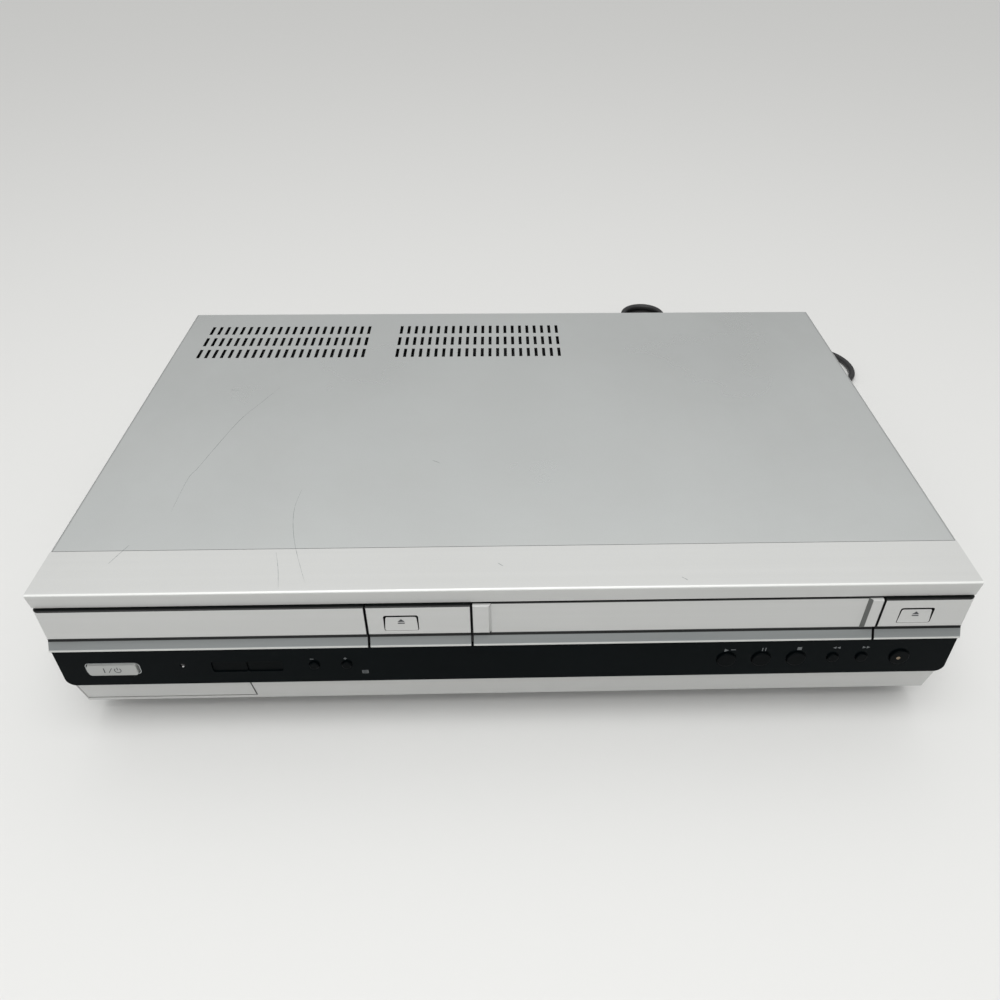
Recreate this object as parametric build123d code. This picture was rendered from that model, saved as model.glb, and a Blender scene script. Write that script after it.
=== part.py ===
from build123d import *
import math
import os

# Disc and cassette combination player, in millimetres. X runs to the viewer's right, Y from the front to the
# back, Z up. Pieces are drawn with Y = 0 on the face of the doors and Z = 0 on the floor, and are moved at the
# end so that the origin is the bottom centre of the player without its cord.

# ---- case ----
case_width = 430.0
case_half = case_width / 2
case_top = 98.0
cover_rear = 272.5          # from the door faces to the rear edge of the cover
seam = 28.6                 # from the door faces to the seam between front moulding and cover
sheet = 0.8                 # cover sheet
cover_bend = 2.2            # outer radius of the cover's long bends
cover_bottom = 12.5
feet_height = 10.0
foot_radius = 13.0
chassis_sheet = 1.0
fit_gap = 0.3               # clear gap between neighbouring pieces
inner_half = case_half - sheet
chassis_half = inner_half - fit_gap
foot_inset = 40.0           # from the case's side to the middle of a foot
feet_xy = [(side * (case_half - foot_inset), y) for side in (-1, 1) for y in (45.0, 235.0)]
side_screw_y = (90.0, 215.0)
side_screw_z = 22.0
rear_screw_inset = 35.0
rear_screw_x = (rear_screw_inset - case_half, 0.0, case_half - rear_screw_inset)
rear_screw_z = case_top - 5.0

# ---- vents in the cover ----
vent_pitch = 5.0
vent_width = 2.0
vent_length = 11.0
vent_rows = 3
vent_row_pitch = 15.9
vent_count = 22
vent_rear = 254.0           # rear end of the rearmost row
vent_starts = (-197.2, -70.3)

# ---- front moulding ----
front_inset = 0.8           # each end of the front moulding lies this far inside the case
front_half = case_half - front_inset
front_wall = 2.4
front_corner = 3.5
band_bottom = 88.7
band_setback = 1.6          # the band leans back towards its lower edge
door_top = 87.7
door_face_bottom = 70.1
trim_top = 67.5
trim_lean = 2.7             # the trim strip slopes forward towards its lower edge
trim_lip = 63.0
trim_thick = 1.6
trim_back = trim_lean - 1.8
door_bottom = 61.6
door_depth = 8.2
door_back = 9.4             # front of the wall behind the doors
window_top = 61.2
window_bottom = 37.0
window_thick = 2.5
window_corner = 4.5
base_top_y = 3.4
base_bottom_y = 9.2
base_bottom = 14.2
base_slope = (base_bottom_y - base_top_y) / (window_bottom - base_bottom)

# ---- doors, from left to right ----
split_tray = -66.4
split_flap_left = -18.1
split_flap_right = 172.0
split_gap = 0.8
tray_front_x = (-front_half, split_tray - split_gap / 2)
centre_x = (split_tray + split_gap / 2, split_flap_left - split_gap / 2)
flap_x = (split_flap_left + split_gap / 2, split_flap_right - split_gap / 2)
right_x = (split_flap_right + split_gap / 2, front_half)

# ---- disc loader ----
tray_x = (-front_half + split_tray) / 2
tray_width = 129.0
tray_length = 149.0
tray_bottom = 73.0
tray_thick = 7.0
disc_y = 75.0
disc_well_radius = 60.5
disc_well_depth = 2.5
small_well_radius = 40.5
small_well_depth = 4.2
spindle_slot = 38.0
rack_module = 1.0
gear_teeth = 20
gear_y = 25.0
rack_x = tray_x + 55.0
rack_height = 6.0
gear_pitch_radius = rack_module * gear_teeth / 2
gear_x = rack_x - gear_pitch_radius
loader_wall = 2.5
loader_clear = 0.7
loader_bottom = 58.0
loader_front = 13.0
loader_rear = 196.0
loader_posts = [(tray_x - 60, 38.0), (tray_x + 60, 38.0), (tray_x - 60, 180.0), (tray_x + 60, 180.0)]
ledge_width = 3.6
bridge_z = 84.0
clamp_radius = 15.0
clamp_recess = 8.6          # room in the clamp for the turntable's cone
traverse_pivot_y = 165.0
traverse_z = 61.5
traverse_thick = 3.0
traverse_width = 62.0
traverse_front = 52.0
pivot_radius = 2.5
running_clearance = 0.05
rail_radius = 1.5
rail_offset = 22.0
sled_start = 102.5
sled_length = 22.0
sled_width = 34.0
sled_travel = 32.0
sled_gap_half = rail_offset + 4.0
sled_window = sled_length + sled_travel + 3.0
turntable_radius = 13.5
turntable_top = 74.5
spindle_radius = 1.0

# ---- cassette deck ----
deck_z = 38.0
deck_thick = 1.5
deck_left = -25.0
deck_right = 179.0
deck_front = 32.0
deck_rear = 228.0
deck_posts = [(-18.0, 40.0), (166.0, 40.0), (-18.0, 220.0), (172.0, 220.0)]
deck_x = (split_flap_left + split_flap_right) / 2
cassette_width = 188.2      # clear width inside the holder
cassette_height = 25.5      # clear height inside the holder
holder_front = 38.0
holder_length = 58.0
holder_sheet = 1.0
holder_floor = 62.4
holder_lip = 13.0
holder_drop = 14.0
bracket_top = 94.2
drum_y = 190.0
drum_radius = 31.0
drum_tilt = 5.0
drum_z = 43.6
lower_drum_height = 17.0
upper_drum_height = 18.0
drum_gap = 0.4
reel_spacing = 92.0
reel_y = 88.0
reel_radius = 21.0
reel_shaft = 3.0
capstan_offset = 52.0
capstan_y = 152.0
capstan_radius = 2.0
flywheel_radius = 27.0
roller_radius = 7.0
arm_length = 22.1
arm_swing = 35.0
arm_pivot = (deck_x + capstan_offset + arm_length - 0.2, capstan_y + 11.0)
ring_inner = 24.5
ring_outer = 31.0
post_orbit = 42.0
post_radius = 3.0
post_rest = 40.0            # degrees from the front of the drum
post_travel = 70.0
flap_hinge_y = 5.2
flap_hinge_z = 92.4
flap_pin_radius = 1.0
flap_ear = 1.6
flap_recess = 1.8
flap_cheek = 8.7

# ---- front controls ----
button_proud = 1.2
button_travel = 0.8
button_clear = 0.3
flange_thick = 1.0
flange_rim = 1.0
switch_y = 11.0
display_board_y = 13.0
# Keys at the left are placed from the left end of the front, and those at the right from its right end.
round_keys = {              # middle x, middle z, radius
    "channel_down_button": (120.3 - front_half, 49.4, 2.3),
    "channel_up_button": (135.7 - front_half, 49.4, 2.3),
    "play_button": (front_half - 110.0, 48.8, 4.5), "pause_button": (front_half - 93.0, 48.8, 4.5),
    "stop_button": (front_half - 76.0, 48.8, 4.5), "rewind_button": (front_half - 58.0, 48.9, 2.7),
    "fast_forward_button": (front_half - 43.9, 48.9, 2.7), "record_button": (front_half - 25.2, 48.7, 4.7)}
bar_keys = {                # left, right, low, high, corner radius
    "power_button": (12.9 - front_half, 37.5 - front_half, 45.4, 52.4, 1.6),
    "left_select_button": (71.9 - front_half, 88.0 - front_half, 45.4, 52.2, 1.0),
    "right_select_button": (88.6 - front_half, 104.7 - front_half, 45.4, 52.2, 1.0)}
lamp_x = 58.1 - front_half
lamp_z = 50.1
eject_width = 16.0
eject_low = 72.2
eject_high = 82.2
eject_keys = {"disc_eject_button": -50.4, "cassette_eject_button": front_half - 25.5}

# ---- line-input flap ----
input_flap_left = -front_half + 0.8
input_flap_right = input_flap_left + 84.2
input_flap_top = 33.4
input_flap_bottom = 17.0
input_flap_thick = 2.6
input_socket_length = 5.5
input_socket_x = input_flap_left + 45.4
input_socket_pitch = 13.0

# ---- rear sockets ----
rear_panel_y = 268.0
rear_panel_thick = 1.2
rca_radius = 4.15
rca_length = 8.0
rca_base_radius = 5.2
antenna_radius = 4.72
antenna_length = 10.5
antenna_base_radius = 6.0
socket_base = 0.8           # how far a socket's base stands out of the rear panel
front_rca_radius = 4.15
rca_columns = [-128.0, -112.0, -96.0, -80.0]
rca_low = 34.0
rca_high = 50.0
antenna_x = -20.0
antenna_z = (34.0, 58.0)
super_video_x = -58.0

# ---- circuit boards ----
board_z = 18.0
board_thick = 1.6
board_left = 12.0 - case_half
board_posts = [(board_left + 8.0, 60.0), (-30.0, 60.0), (board_left + 8.0, 225.0), (-30.0, 225.0),
               (100.0, 60.0),
               (100.0, 225.0)]
board_parts = [             # left, front, width, depth, height
    (board_left + 53.0, 90.0, 24.0, 24.0, 2.4), (board_left + 103.0, 120.0, 16.0, 28.0, 2.0),
    (board_left + 13.0, 190.0, 60.0, 30.0, 16.0), (-20.0, 70.0, 14.0, 14.0, 1.6),
    (40.0, 100.0, 20.0, 20.0, 1.6),
    (-110.0, 200.0, 30.0, 8.0, 9.0)]
board_cans = [(board_left + 33.0, 110.0, 5.0, 11.0), (-120.0, 175.0, 4.0, 9.0), (-60.0, 95.0, 4.0, 9.0),
              (-60.0, 190.0, 5.0, 12.0)]
supply_right = case_half - 10.0
supply_mid_y = 249.0

# ---- mains cord ----
cord_d = 5.0
cord_exit_x = 186.0
cord_exit_z = 26.0
fold_radius = 15.0
hank_layers = 3
hank_step = 5.6
hank_run = 78.0
hank_x = 131.0
hank_y = 358.0
hank_floor = cord_d / 2 + 1.2
hank_tail = 26.0            # the wound length runs on past the turns to the plug
plug_relief = 15.0
plug_neck = 5.0
plug_body = 17.0
plug_blade = 17.0
gland_length = 24.0
tie_width = 6.0
tie_thick = 0.8
tie_gap = 0.3
plug_thick = 14.0
floor_z = cord_d / 2 + 0.1
gland_tip = rear_panel_y + rear_panel_thick + gland_length


# ---- small helpers ----
def span(a0, a1, b0, b1):
    """A flat rectangle between two pairs of limits."""
    return Pos((a0 + a1) / 2, (b0 + b1) / 2) * Rectangle(a1 - a0, b1 - b0)


def rounded(a0, a1, b0, b1, r):
    return Pos((a0 + a1) / 2, (b0 + b1) / 2) * RectangleRounded(a1 - a0, b1 - b0, r)


def along_x(shape, x0, x1):
    """Extrude a (y, z) outline from x0 to x1."""
    return extrude(Plane((x0, 0, 0), x_dir=(0, 1, 0), z_dir=(1, 0, 0)) * shape, x1 - x0, dir=(1, 0, 0))


def along_y(shape, y0, y1):
    """Extrude an (x, z) outline from y0 to y1."""
    return extrude(Plane((0, y1, 0), x_dir=(1, 0, 0), z_dir=(0, -1, 0)) * shape, y1 - y0, dir=(0, -1, 0))


def along_z(shape, z0, z1):
    """Extrude an (x, y) outline from z0 to z1."""
    return extrude(Plane((0, 0, z0)) * shape, z1 - z0, dir=(0, 0, 1))


def block(x0, x1, y0, y1, z0, z1):
    return along_z(span(x0, x1, y0, y1), z0, z1)


def rod_z(x, y, r, z0, z1):
    return along_z(Pos(x, y) * Circle(r), z0, z1)


def rod_y(x, z, r, y0, y1):
    return along_y(Pos(x, z) * Circle(r), y0, y1)


def rod_x(y, z, r, x0, x1):
    return along_x(Pos(y, z) * Circle(r), x0, x1)


def outline(*points):
    return Polygon(*points, align=None)


pieces = {}


def keep(name, *solids):
    """Store a piece under its node name."""
    found = [s for shape in solids for s in shape.solids()]
    pieces[name] = found[0] if len(found) == 1 else Compound(children=found)


# ---- top cover ----
def top_cover():
    half = case_half
    outer = rounded(-half, half, cover_bottom - 20, case_top, cover_bend)
    inner = rounded(-half + sheet, half - sheet, cover_bottom - 21, case_top - sheet, cover_bend - sheet)
    outside = outer & span(-half, half, cover_bottom, case_top)
    profile = outside - inner
    shell = along_y(profile, seam + fit_gap, cover_rear)
    rear_lip = along_y(outside - span(-half + 9, half - 9, 0, case_top - 9), cover_rear - sheet, cover_rear)
    slots = Sketch()
    for start in vent_starts:
        for row in range(vent_rows):
            y = vent_rear - vent_length / 2 - row * vent_row_pitch
            for i in range(vent_count):
                slots += Pos(start + i * vent_pitch, y) * Rectangle(vent_width, vent_length)
    shell = shell + rear_lip
    shell -= along_z(slots, case_top - 2, case_top + 1)
    for side in (-1, 1):
        for y in side_screw_y:
            shell -= rod_x(y, side_screw_z, 1.9, side * half - 2, side * half + 2)
    for x in rear_screw_x:
        shell -= rod_y(x, rear_screw_z, 1.9, cover_rear - 2, cover_rear + 1)
    keep("top_cover", shell)


def case_screws():
    """Round-headed screws through the cover's sides and its rear lip."""
    profile = outline((0, 0), (3.1, 0), (3.1, 0.7), (2.0, 1.7), (0, 1.9))
    head = revolve(Plane.XZ * profile, Axis.Z)
    shank = along_z(Circle(1.5), -6.0, 0)
    screw = head + shank
    found = []
    for side in (-1, 1):
        for y in side_screw_y:
            found.append(Pos(side * case_half, y, side_screw_z) * Rot(0, 90 * side, 0) * screw)
    for x in rear_screw_x:
        found.append(Pos(x, cover_rear, rear_screw_z) * Rot(-90, 0, 0) * screw)
    keep("case_screws", *found)


# ---- chassis ----


def chassis():
    """Bottom sheet with upturned sides, bosses for the boards and mechanisms, and a field of vents."""
    z0 = feet_height + 1.0
    z1 = z0 + chassis_sheet
    base = block(-chassis_half, chassis_half, seam - 10, rear_panel_y - fit_gap, z0, z1)
    for side in (-1, 1):
        edge = sorted((side * chassis_half, side * (chassis_half - chassis_sheet)))
        base += block(edge[0], edge[1], seam + 2, rear_panel_y - fit_gap, z0, z0 + 16)
        for y in side_screw_y:
            tab = sorted((side * (chassis_half - 3.5), side * (chassis_half - chassis_sheet)))
            base += block(tab[0], tab[1], y - 5, y + 5, z0, z0 + 16)
            base -= rod_x(y, side_screw_z, 1.6, side * (chassis_half - 10), side * (chassis_half + 1))
    for x, y in deck_posts:
        base += rod_z(x, y, 4.0, z1, deck_z)
    for x, y in loader_posts:
        base += rod_z(x, y, 4.0, z1, loader_bottom)
    for x, y in board_posts:
        base += rod_z(x, y, 3.0, z1, board_z)
    for i in range(14):
        x = -120.0 + i * 9.0
        base -= block(x, x + 3.0, 150, 178, z0 - 1, z1 + 1)
    for x, y in feet_xy:
        base -= rod_z(x, y, 2.2, z0 - 1, z1 + 1)
    keep("chassis", base)


def feet():
    """Dished round feet on a plug that passes into the chassis."""
    z = feet_height + 1.0
    r = foot_radius
    profile = outline((0, 1.2), (r - 4, 1.2), (r - 3, 0), (r - 0.8, 0), (r, 1.0), (r - 1.2, z), (2.0, z),
                      (2.0, z + 1.0),
                      (2.0, z + 2.2), (0, z + 2.8))
    foot = revolve(Plane.XZ * profile, Axis.Z)
    keep("feet", *[Pos(x, y, 0) * foot for x, y in feet_xy])


# ---- front moulding ----
def front_profile():
    """Outside of the front moulding, seen from the side."""
    return outline(
        (seam, case_top), (0, case_top), (band_setback, band_bottom), (door_back, band_bottom),
        (door_back, window_top - 1.6), (window_thick + fit_gap, window_top - 1.6),
        (window_thick + fit_gap, window_bottom), (base_top_y, window_bottom - 0.1),
        (base_bottom_y, base_bottom), (base_bottom_y + 3, base_bottom - 1.8), (seam, base_bottom - 1.8))


def front_bezel():
    """Silver front moulding: band, cheeks, base, and the wall behind the doors with the two mouths."""
    half = front_half
    body = along_x(front_profile(), -half, half)
    plan = rounded(-half, half, -6, seam + 30, front_corner) & span(-half, half, -6, seam)
    body &= along_z(Pos(0, 2.6) * plan + span(-half, half, seam - 12, seam), 0, case_top)
    edge = [e for e in body.edges().filter_by(Axis.X) if abs(e.center().Z - case_top) < 0.01 and e.center().Y < 1]
    body = fillet(edge, 1.2)
    w = front_wall
    hollow = outline(
        (seam + 1, case_top - w), (w + 0.2, case_top - w), (w + band_setback, band_bottom + w),
        (door_back + w - 0.6, band_bottom + w), (door_back + w - 0.6, window_bottom - 4),
        (base_top_y + w + 4 * base_slope, window_bottom - 4), (base_bottom_y + w, base_bottom + 1),
        (seam + 1, base_bottom + 1))
    body -= along_x(hollow, -half + w, half - w)
    # mouths for the disc tray and the cassette
    body -= block(-half + w + 0.8, split_tray - 2.5, 2, seam - 4, door_bottom + 1, door_top - 0.8)
    body -= along_x(outline((band_setback + w - 0.7, door_bottom), (door_back + 4, door_bottom),
                            (door_back + 4, case_top - w), (band_setback + w - 0.7, case_top - w)),
                    split_flap_left + 0.4, split_flap_right - 0.4)
    # room behind the window for the display board and the keys
    body -= block(-half + 4.5, half - 4.5, -1, door_back + 4, window_bottom + 3, window_top - 4.5)
    # opening of the line-input recess
    body -= block(input_flap_left + 3, input_flap_right - 2.5, -1, seam - 6, input_flap_bottom + 1.6,
                  input_flap_top - 1.8)
    # pocket that the line-input flap lies in
    body -= input_flap_solid(0.35)
    for x in eject_keys.values():
        body -= block(x - 3.4, x + 3.4, door_back - 1, door_back + 3, eject_low + 0.4, eject_low + 7.2)
    body += flap_pins() + input_flap_pins()
    keep("front_bezel", body)


def base_face(z):
    """How far back the base's sloping face lies at a height."""
    return base_top_y + (window_bottom - z) * base_slope


def input_flap_solid(grow=0.0):
    """The line-input flap, flush with the sloping base; grow widens it into the pocket that it lies in."""
    r = input_flap_thick / 2
    top = input_flap_top + grow
    low = input_flap_bottom + r
    out = -3.0 if grow else 0.0
    shape = outline(
        (base_face(top) + out, top), (base_face(top) + input_flap_thick + grow, top),
        (base_face(low) + input_flap_thick + grow, low), (base_face(low) + out, low))
    body = along_x(shape, input_flap_left - grow, input_flap_right + grow)
    body += rod_x(base_face(low) + r, low, r + grow, input_flap_left - grow, input_flap_right + grow)
    if grow:
        body += along_x(span(base_face(low) + out, base_face(low) + r, low - r - grow, low),
                        input_flap_left - grow,
                        input_flap_right + grow)
    return body


input_hinge_z = input_flap_bottom + input_flap_thick / 2
input_hinge_y = base_face(input_hinge_z) + input_flap_thick / 2


def input_flap_pins(clearance=0.0):
    """Pins in the ends of the flap's rolled lower edge."""
    left = rod_x(input_hinge_y, input_hinge_z, 0.6 + clearance, input_flap_left - 0.6, input_flap_left + 3)
    right = rod_x(input_hinge_y, input_hinge_z, 0.6 + clearance, input_flap_right - 3,
                  input_flap_right + 0.6)
    return left + right


def input_flap():
    """Flap over the line-input sockets, hinged along its rolled lower edge, with a finger notch in its top."""
    flap = input_flap_solid() - input_flap_pins(running_clearance)
    notch = block(input_flap_left + 8, input_flap_left + 20, 0, 20, input_flap_top - 1.4,
                  input_flap_top + 4)
    keep("input_flap", flap - notch)


def line_sockets():
    """Three shielded sockets on the floor of a tub behind the line-input flap."""
    z = (input_flap_top + input_flap_bottom) / 2 - 0.2
    y0 = seam - 5
    y_mouth = base_bottom_y + front_wall + 0.8
    x0 = -front_half + front_wall + fit_gap
    x1 = input_flap_right - 2.6
    z0 = input_flap_bottom + 1.0
    z1 = input_flap_top - 1.0
    found = block(x0, x1, y_mouth, y0 + 1.6, z0, z1) - block(x0 + 1.2, x1 - 1.2, y_mouth - 1, y0, z0 + 1.2,
                                                             z1 - 1.2)
    for i in range(3):
        x = input_socket_x + i * input_socket_pitch
        found += rod_y(x, z, front_rca_radius, y0 - input_socket_length, y0)
        found -= rod_y(x, z, front_rca_radius - 0.6, y0 - input_socket_length - 1, y0 - 1.2)
        found += rod_y(x, z, 2.4, y0 - input_socket_length + 0.5, y0)
        found -= rod_y(x, z, 1.6, y0 - input_socket_length - 1, y0 - 2)
    keep("line_sockets", found)


# ---- doors and blocks ----
def door_solid(x0, x1, left_end=False, right_end=False):
    """A hollow door moulding: flat face, chamfered foot, open at the back."""
    w = 2.0
    shape = outline(
        (0.5, door_top), (0, door_top - 0.5), (0, door_face_bottom), (1.8, trim_top),
        (1.8 + trim_thick, trim_top),
        (trim_thick - trim_back, door_bottom + 0.3), (door_depth, door_bottom + 0.3),
        (door_depth, door_top))
    body = along_x(shape, x0, x1)
    ends = []
    for e in body.edges():
        c = e.center()
        if c.Y < 0.3 and abs(e.bounding_box().size.Z) > 10:
            if (left_end and c.X < x0 + 0.1) or (right_end and c.X > x1 - 0.1):
                ends.append(e)
    if ends:
        body = fillet(ends, 2.6)
    pocket = block(x0 + w, x1 - w, w + 2.4, door_depth + 1, trim_top, door_top - w)
    return body - pocket


def trim_solid(x0, x1):
    """Sloping grey strip with a bright lip along its foot."""
    shape = outline(
        (1.8, trim_top), (-trim_back + 0.3, trim_lip + 0.4), (-trim_back - 0.1, trim_lip),
        (-trim_back, door_bottom + 0.4),
        (-trim_back + 0.4, door_bottom), (trim_thick - trim_back, door_bottom),
        (trim_thick - trim_back, door_bottom + 0.3),
        (1.8 + trim_thick, trim_top))
    return along_x(shape, x0, x1)


def key_hole(x0, x1, z0, z1, r):
    """Cut for a key, through the door wall."""
    return along_y(rounded(x0, x1, z0, z1, r), -2, door_depth + 4)


def centre_block():
    body = door_solid(*centre_x)
    x = eject_keys["disc_eject_button"]
    body -= key_hole(x - eject_width / 2, x + eject_width / 2, eject_low, eject_high, 1.2)
    keep("centre_block", body)
    keep("centre_trim", trim_solid(*centre_x))


def right_block():
    body = door_solid(*right_x, right_end=True)
    x = eject_keys["cassette_eject_button"]
    body -= key_hole(x - eject_width / 2, x + eject_width / 2, eject_low, eject_high, 1.2)
    keep("right_block", body)
    keep("right_trim", trim_solid(*right_x))


def tray_front():
    keep("tray_front", door_solid(*tray_front_x, left_end=True))
    keep("tray_trim", trim_solid(*tray_front_x))


def cassette_flap():
    """Flap of the cassette mouth: recessed between two cheeks, with two hinge ears behind the band."""
    x0, x1 = flap_x
    back = 3.4
    shape = outline(
        (0.5, door_top), (0, door_top - 0.5), (0, door_face_bottom), (1.8, trim_top),
        (1.8 + trim_thick, trim_top),
        (trim_thick - trim_back, door_bottom + 0.3), (back, door_bottom + 0.3), (back, door_top))
    body = along_x(shape, x0, x1)
    inner = outline((-1, door_top + 1), (-1, door_face_bottom + 1.8), (flap_recess, door_face_bottom + 1.8),
                    (flap_recess, door_top + 1))
    body -= along_x(inner, x0 + flap_cheek, x1 - flap_cheek)
    for ear0, ear1 in ((x0 + 1, x0 + 4), (x1 - 4, x1 - 1)):
        ear = outline((flap_recess + 0.4, door_top - 4), (flap_hinge_y + 1.2, door_top - 4),
                      (flap_hinge_y + flap_ear, flap_hinge_z), (flap_hinge_y - flap_ear, flap_hinge_z),
                      (flap_hinge_y - flap_ear, door_top), (flap_recess + 0.4, door_top - 1.0))
        body += along_x(ear, ear0, ear1) + rod_x(flap_hinge_y, flap_hinge_z, flap_ear, ear0, ear1)
    body -= rod_x(flap_hinge_y, flap_hinge_z, flap_pin_radius + running_clearance, x0, x1)
    keep("cassette_flap", body)
    keep("flap_trim", trim_solid(x0, x1))


def flap_pins():
    """Pins for the flap, held in lugs of the front moulding."""
    x0, x1 = flap_x
    lug = outline((flap_hinge_y - 1.9, case_top - front_wall), (flap_hinge_y - 1.9, flap_hinge_z - 1.5),
                  (flap_hinge_y + 2.4, flap_hinge_z - 1.5), (flap_hinge_y + 2.4, case_top - front_wall))
    left = along_x(lug, x0 + 4.6, x0 + 7.0) + rod_x(flap_hinge_y, flap_hinge_z, flap_pin_radius, x0 + 0.6,
                                                    x0 + 5)
    right = along_x(lug, x1 - 7.0, x1 - 4.6) + rod_x(flap_hinge_y, flap_hinge_z, flap_pin_radius, x1 - 5,
                                                     x1 - 0.6)
    return left + right


# ---- front window and its keys ----


def front_window():
    """Glossy black panel with a hole for every key and for the lamp."""
    half = front_half - 0.2
    face = rounded(-half, half, window_bottom, window_top + 20, window_corner)
    face &= span(-half, half, window_bottom, window_top)
    for x, z, r in round_keys.values():
        face -= Pos(x, z) * Circle(r + button_clear)
    for x0, x1, z0, z1, r in bar_keys.values():
        c = button_clear
        face -= rounded(x0 - c, x1 + c, z0 - c, z1 + c, r + c)
    face -= Pos(lamp_x, lamp_z) * Circle(1.3)
    panel = along_y(face, 0, window_thick)
    keep("front_window", panel)


def front_keys():
    """Each key: a crowned cap, a rim behind the panel and a stem that ends just before its switch."""
    rim_y = window_thick + 0.3
    for name, (x, z, r) in round_keys.items():
        cap = rod_y(x, z, r, -button_proud, rim_y)
        cap = fillet(cap.edges().sort_by(Axis.Y)[0], 0.5)
        rim = rod_y(x, z, r + button_clear + flange_rim, rim_y, rim_y + flange_thick)
        keep(name, cap + rim + rod_y(x, z, 1.6, rim_y, switch_y - button_travel - 0.3))
    for name, (x0, x1, z0, z1, r) in bar_keys.items():
        proud = button_proud if name == "power_button" else -0.6
        cap = along_y(rounded(x0, x1, z0, z1, r), -proud, rim_y)
        rim0 = x0 - (0 if name == "right_select_button" else flange_rim + button_clear)
        rim1 = x1 + (0 if name == "left_select_button" else flange_rim + button_clear)
        low = z0 - button_clear - flange_rim
        rim = along_y(span(rim0, rim1, low, z1 + button_clear + flange_rim), rim_y, rim_y + flange_thick)
        stem = rod_y((x0 + x1) / 2, (z0 + z1) / 2, 1.6, rim_y, switch_y - button_travel - 0.3)
        keep(name, cap + rim + stem)
    for name, x in eject_keys.items():
        c = button_clear
        x0 = x - eject_width / 2 + c
        x1 = x + eject_width / 2 - c
        z0 = eject_low + c
        z1 = eject_high - c
        cap = along_y(rounded(x0, x1, z0, z1, 1.0), 0, 4.6)
        stem = block(x - 2, x + 2, 4.6, switch_y - button_travel - 0.3, z0 + 2, z0 + 5)
        keep(name, cap + stem)


def display_board():
    """Upright board behind the window with the key switches, the display and the lamp."""
    body = block(-front_half + 6, front_half - 6, display_board_y, display_board_y + 1.6,
                 window_bottom + 4.2,
                 window_top - 5.2)
    for x, z, r in round_keys.values():
        body += block(x - 2.6, x + 2.6, switch_y, display_board_y, z - 2.6, z + 2.6)
    for x0, x1, z0, z1, r in bar_keys.values():
        x = (x0 + x1) / 2
        z = (z0 + z1) / 2
        body += block(x - 2.6, x + 2.6, switch_y, display_board_y, z - 2.6, z + 2.6)
    body += block(-45, 65, 5.5, display_board_y, window_bottom + 6, window_top - 6)
    body += rod_y(lamp_x, lamp_z, 1.1, 0.6, display_board_y)
    for x in eject_keys.values():
        body += block(x - 5, x + 5, display_board_y, display_board_y + 1.6, window_top - 5.2, eject_low + 8)
        body += block(x - 2.6, x + 2.6, switch_y, display_board_y, eject_low + 1.2, eject_low + 6.4)
    keep("display_board", body)


# ---- boards and rear ----
def main_board():
    body = block(board_left, 135, 56, 230, board_z, board_z + board_thick)
    for x, y, w, d, h in board_parts:
        body += block(x, x + w, y, y + d, board_z + board_thick, board_z + board_thick + h)
    for x, y, r, h in board_cans:
        body += rod_z(x, y, r, board_z + board_thick, board_z + board_thick + h)
    for x, y in deck_posts + loader_posts:
        body -= rod_z(x, y, 5.0, board_z - 1, board_z + board_thick + 1)
    keep("main_board", body)


def power_board():
    """Supply board along the rear right with its transformer, capacitor and heat sink."""
    z = board_z + board_thick
    body = block(20, supply_right, 233, 266, board_z, z)
    body += block(120, 152, 236, 262, z, z + 26)
    body += rod_z(100, supply_mid_y, 9.0, z, z + 24)
    body += rod_z(76, 246, 5.0, z, z + 16)
    fins = outline((36, 240), (60, 240), (60, 258), (58, 258), (58, 242), (52, 242), (52, 258), (50, 258),
                   (50, 242), (46, 242), (46, 258), (44, 258), (44, 242), (38, 242), (38, 258), (36, 258))
    body += along_z(fins, z, z + 30)
    for x in (30.0, supply_right - 10.0):
        body += rod_z(x, supply_mid_y, 3.0, feet_height + 1 + chassis_sheet, board_z)
    keep("power_board", body)


def rear_panel():
    """Sheet rear panel with holes for the sockets, a vent field and the cord's strain relief."""
    half = inner_half - fit_gap
    face = rounded(-half, half, feet_height + 1, case_top - sheet - fit_gap, 1.0)
    for x in rca_columns:
        for z in (rca_low, rca_high):
            face -= Pos(x, z) * Circle(rca_base_radius + fit_gap)
    for z in antenna_z:
        face -= Pos(antenna_x, z) * Circle(antenna_base_radius + fit_gap)
    face -= Pos(super_video_x, rca_low) * Circle(5.2)
    for i in range(12):
        face -= Pos(70.0 + i * 8.0, 62.0) * Rectangle(3.0, 22.0)
    face -= Pos(cord_exit_x, cord_exit_z) * Circle(cord_d / 2 + 2.3)
    for x in rear_screw_x:
        face -= Pos(x, rear_screw_z) * Circle(1.6)
    panel = along_y(face, rear_panel_y, rear_panel_y + rear_panel_thick)
    for x in rear_screw_x:
        boss = rod_y(x, rear_screw_z, 3.2, rear_panel_y + rear_panel_thick, cover_rear - sheet - 0.02)
        panel += boss - rod_y(x, rear_screw_z, 1.6, rear_panel_y, cover_rear)
    keep("rear_panel", panel)


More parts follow.
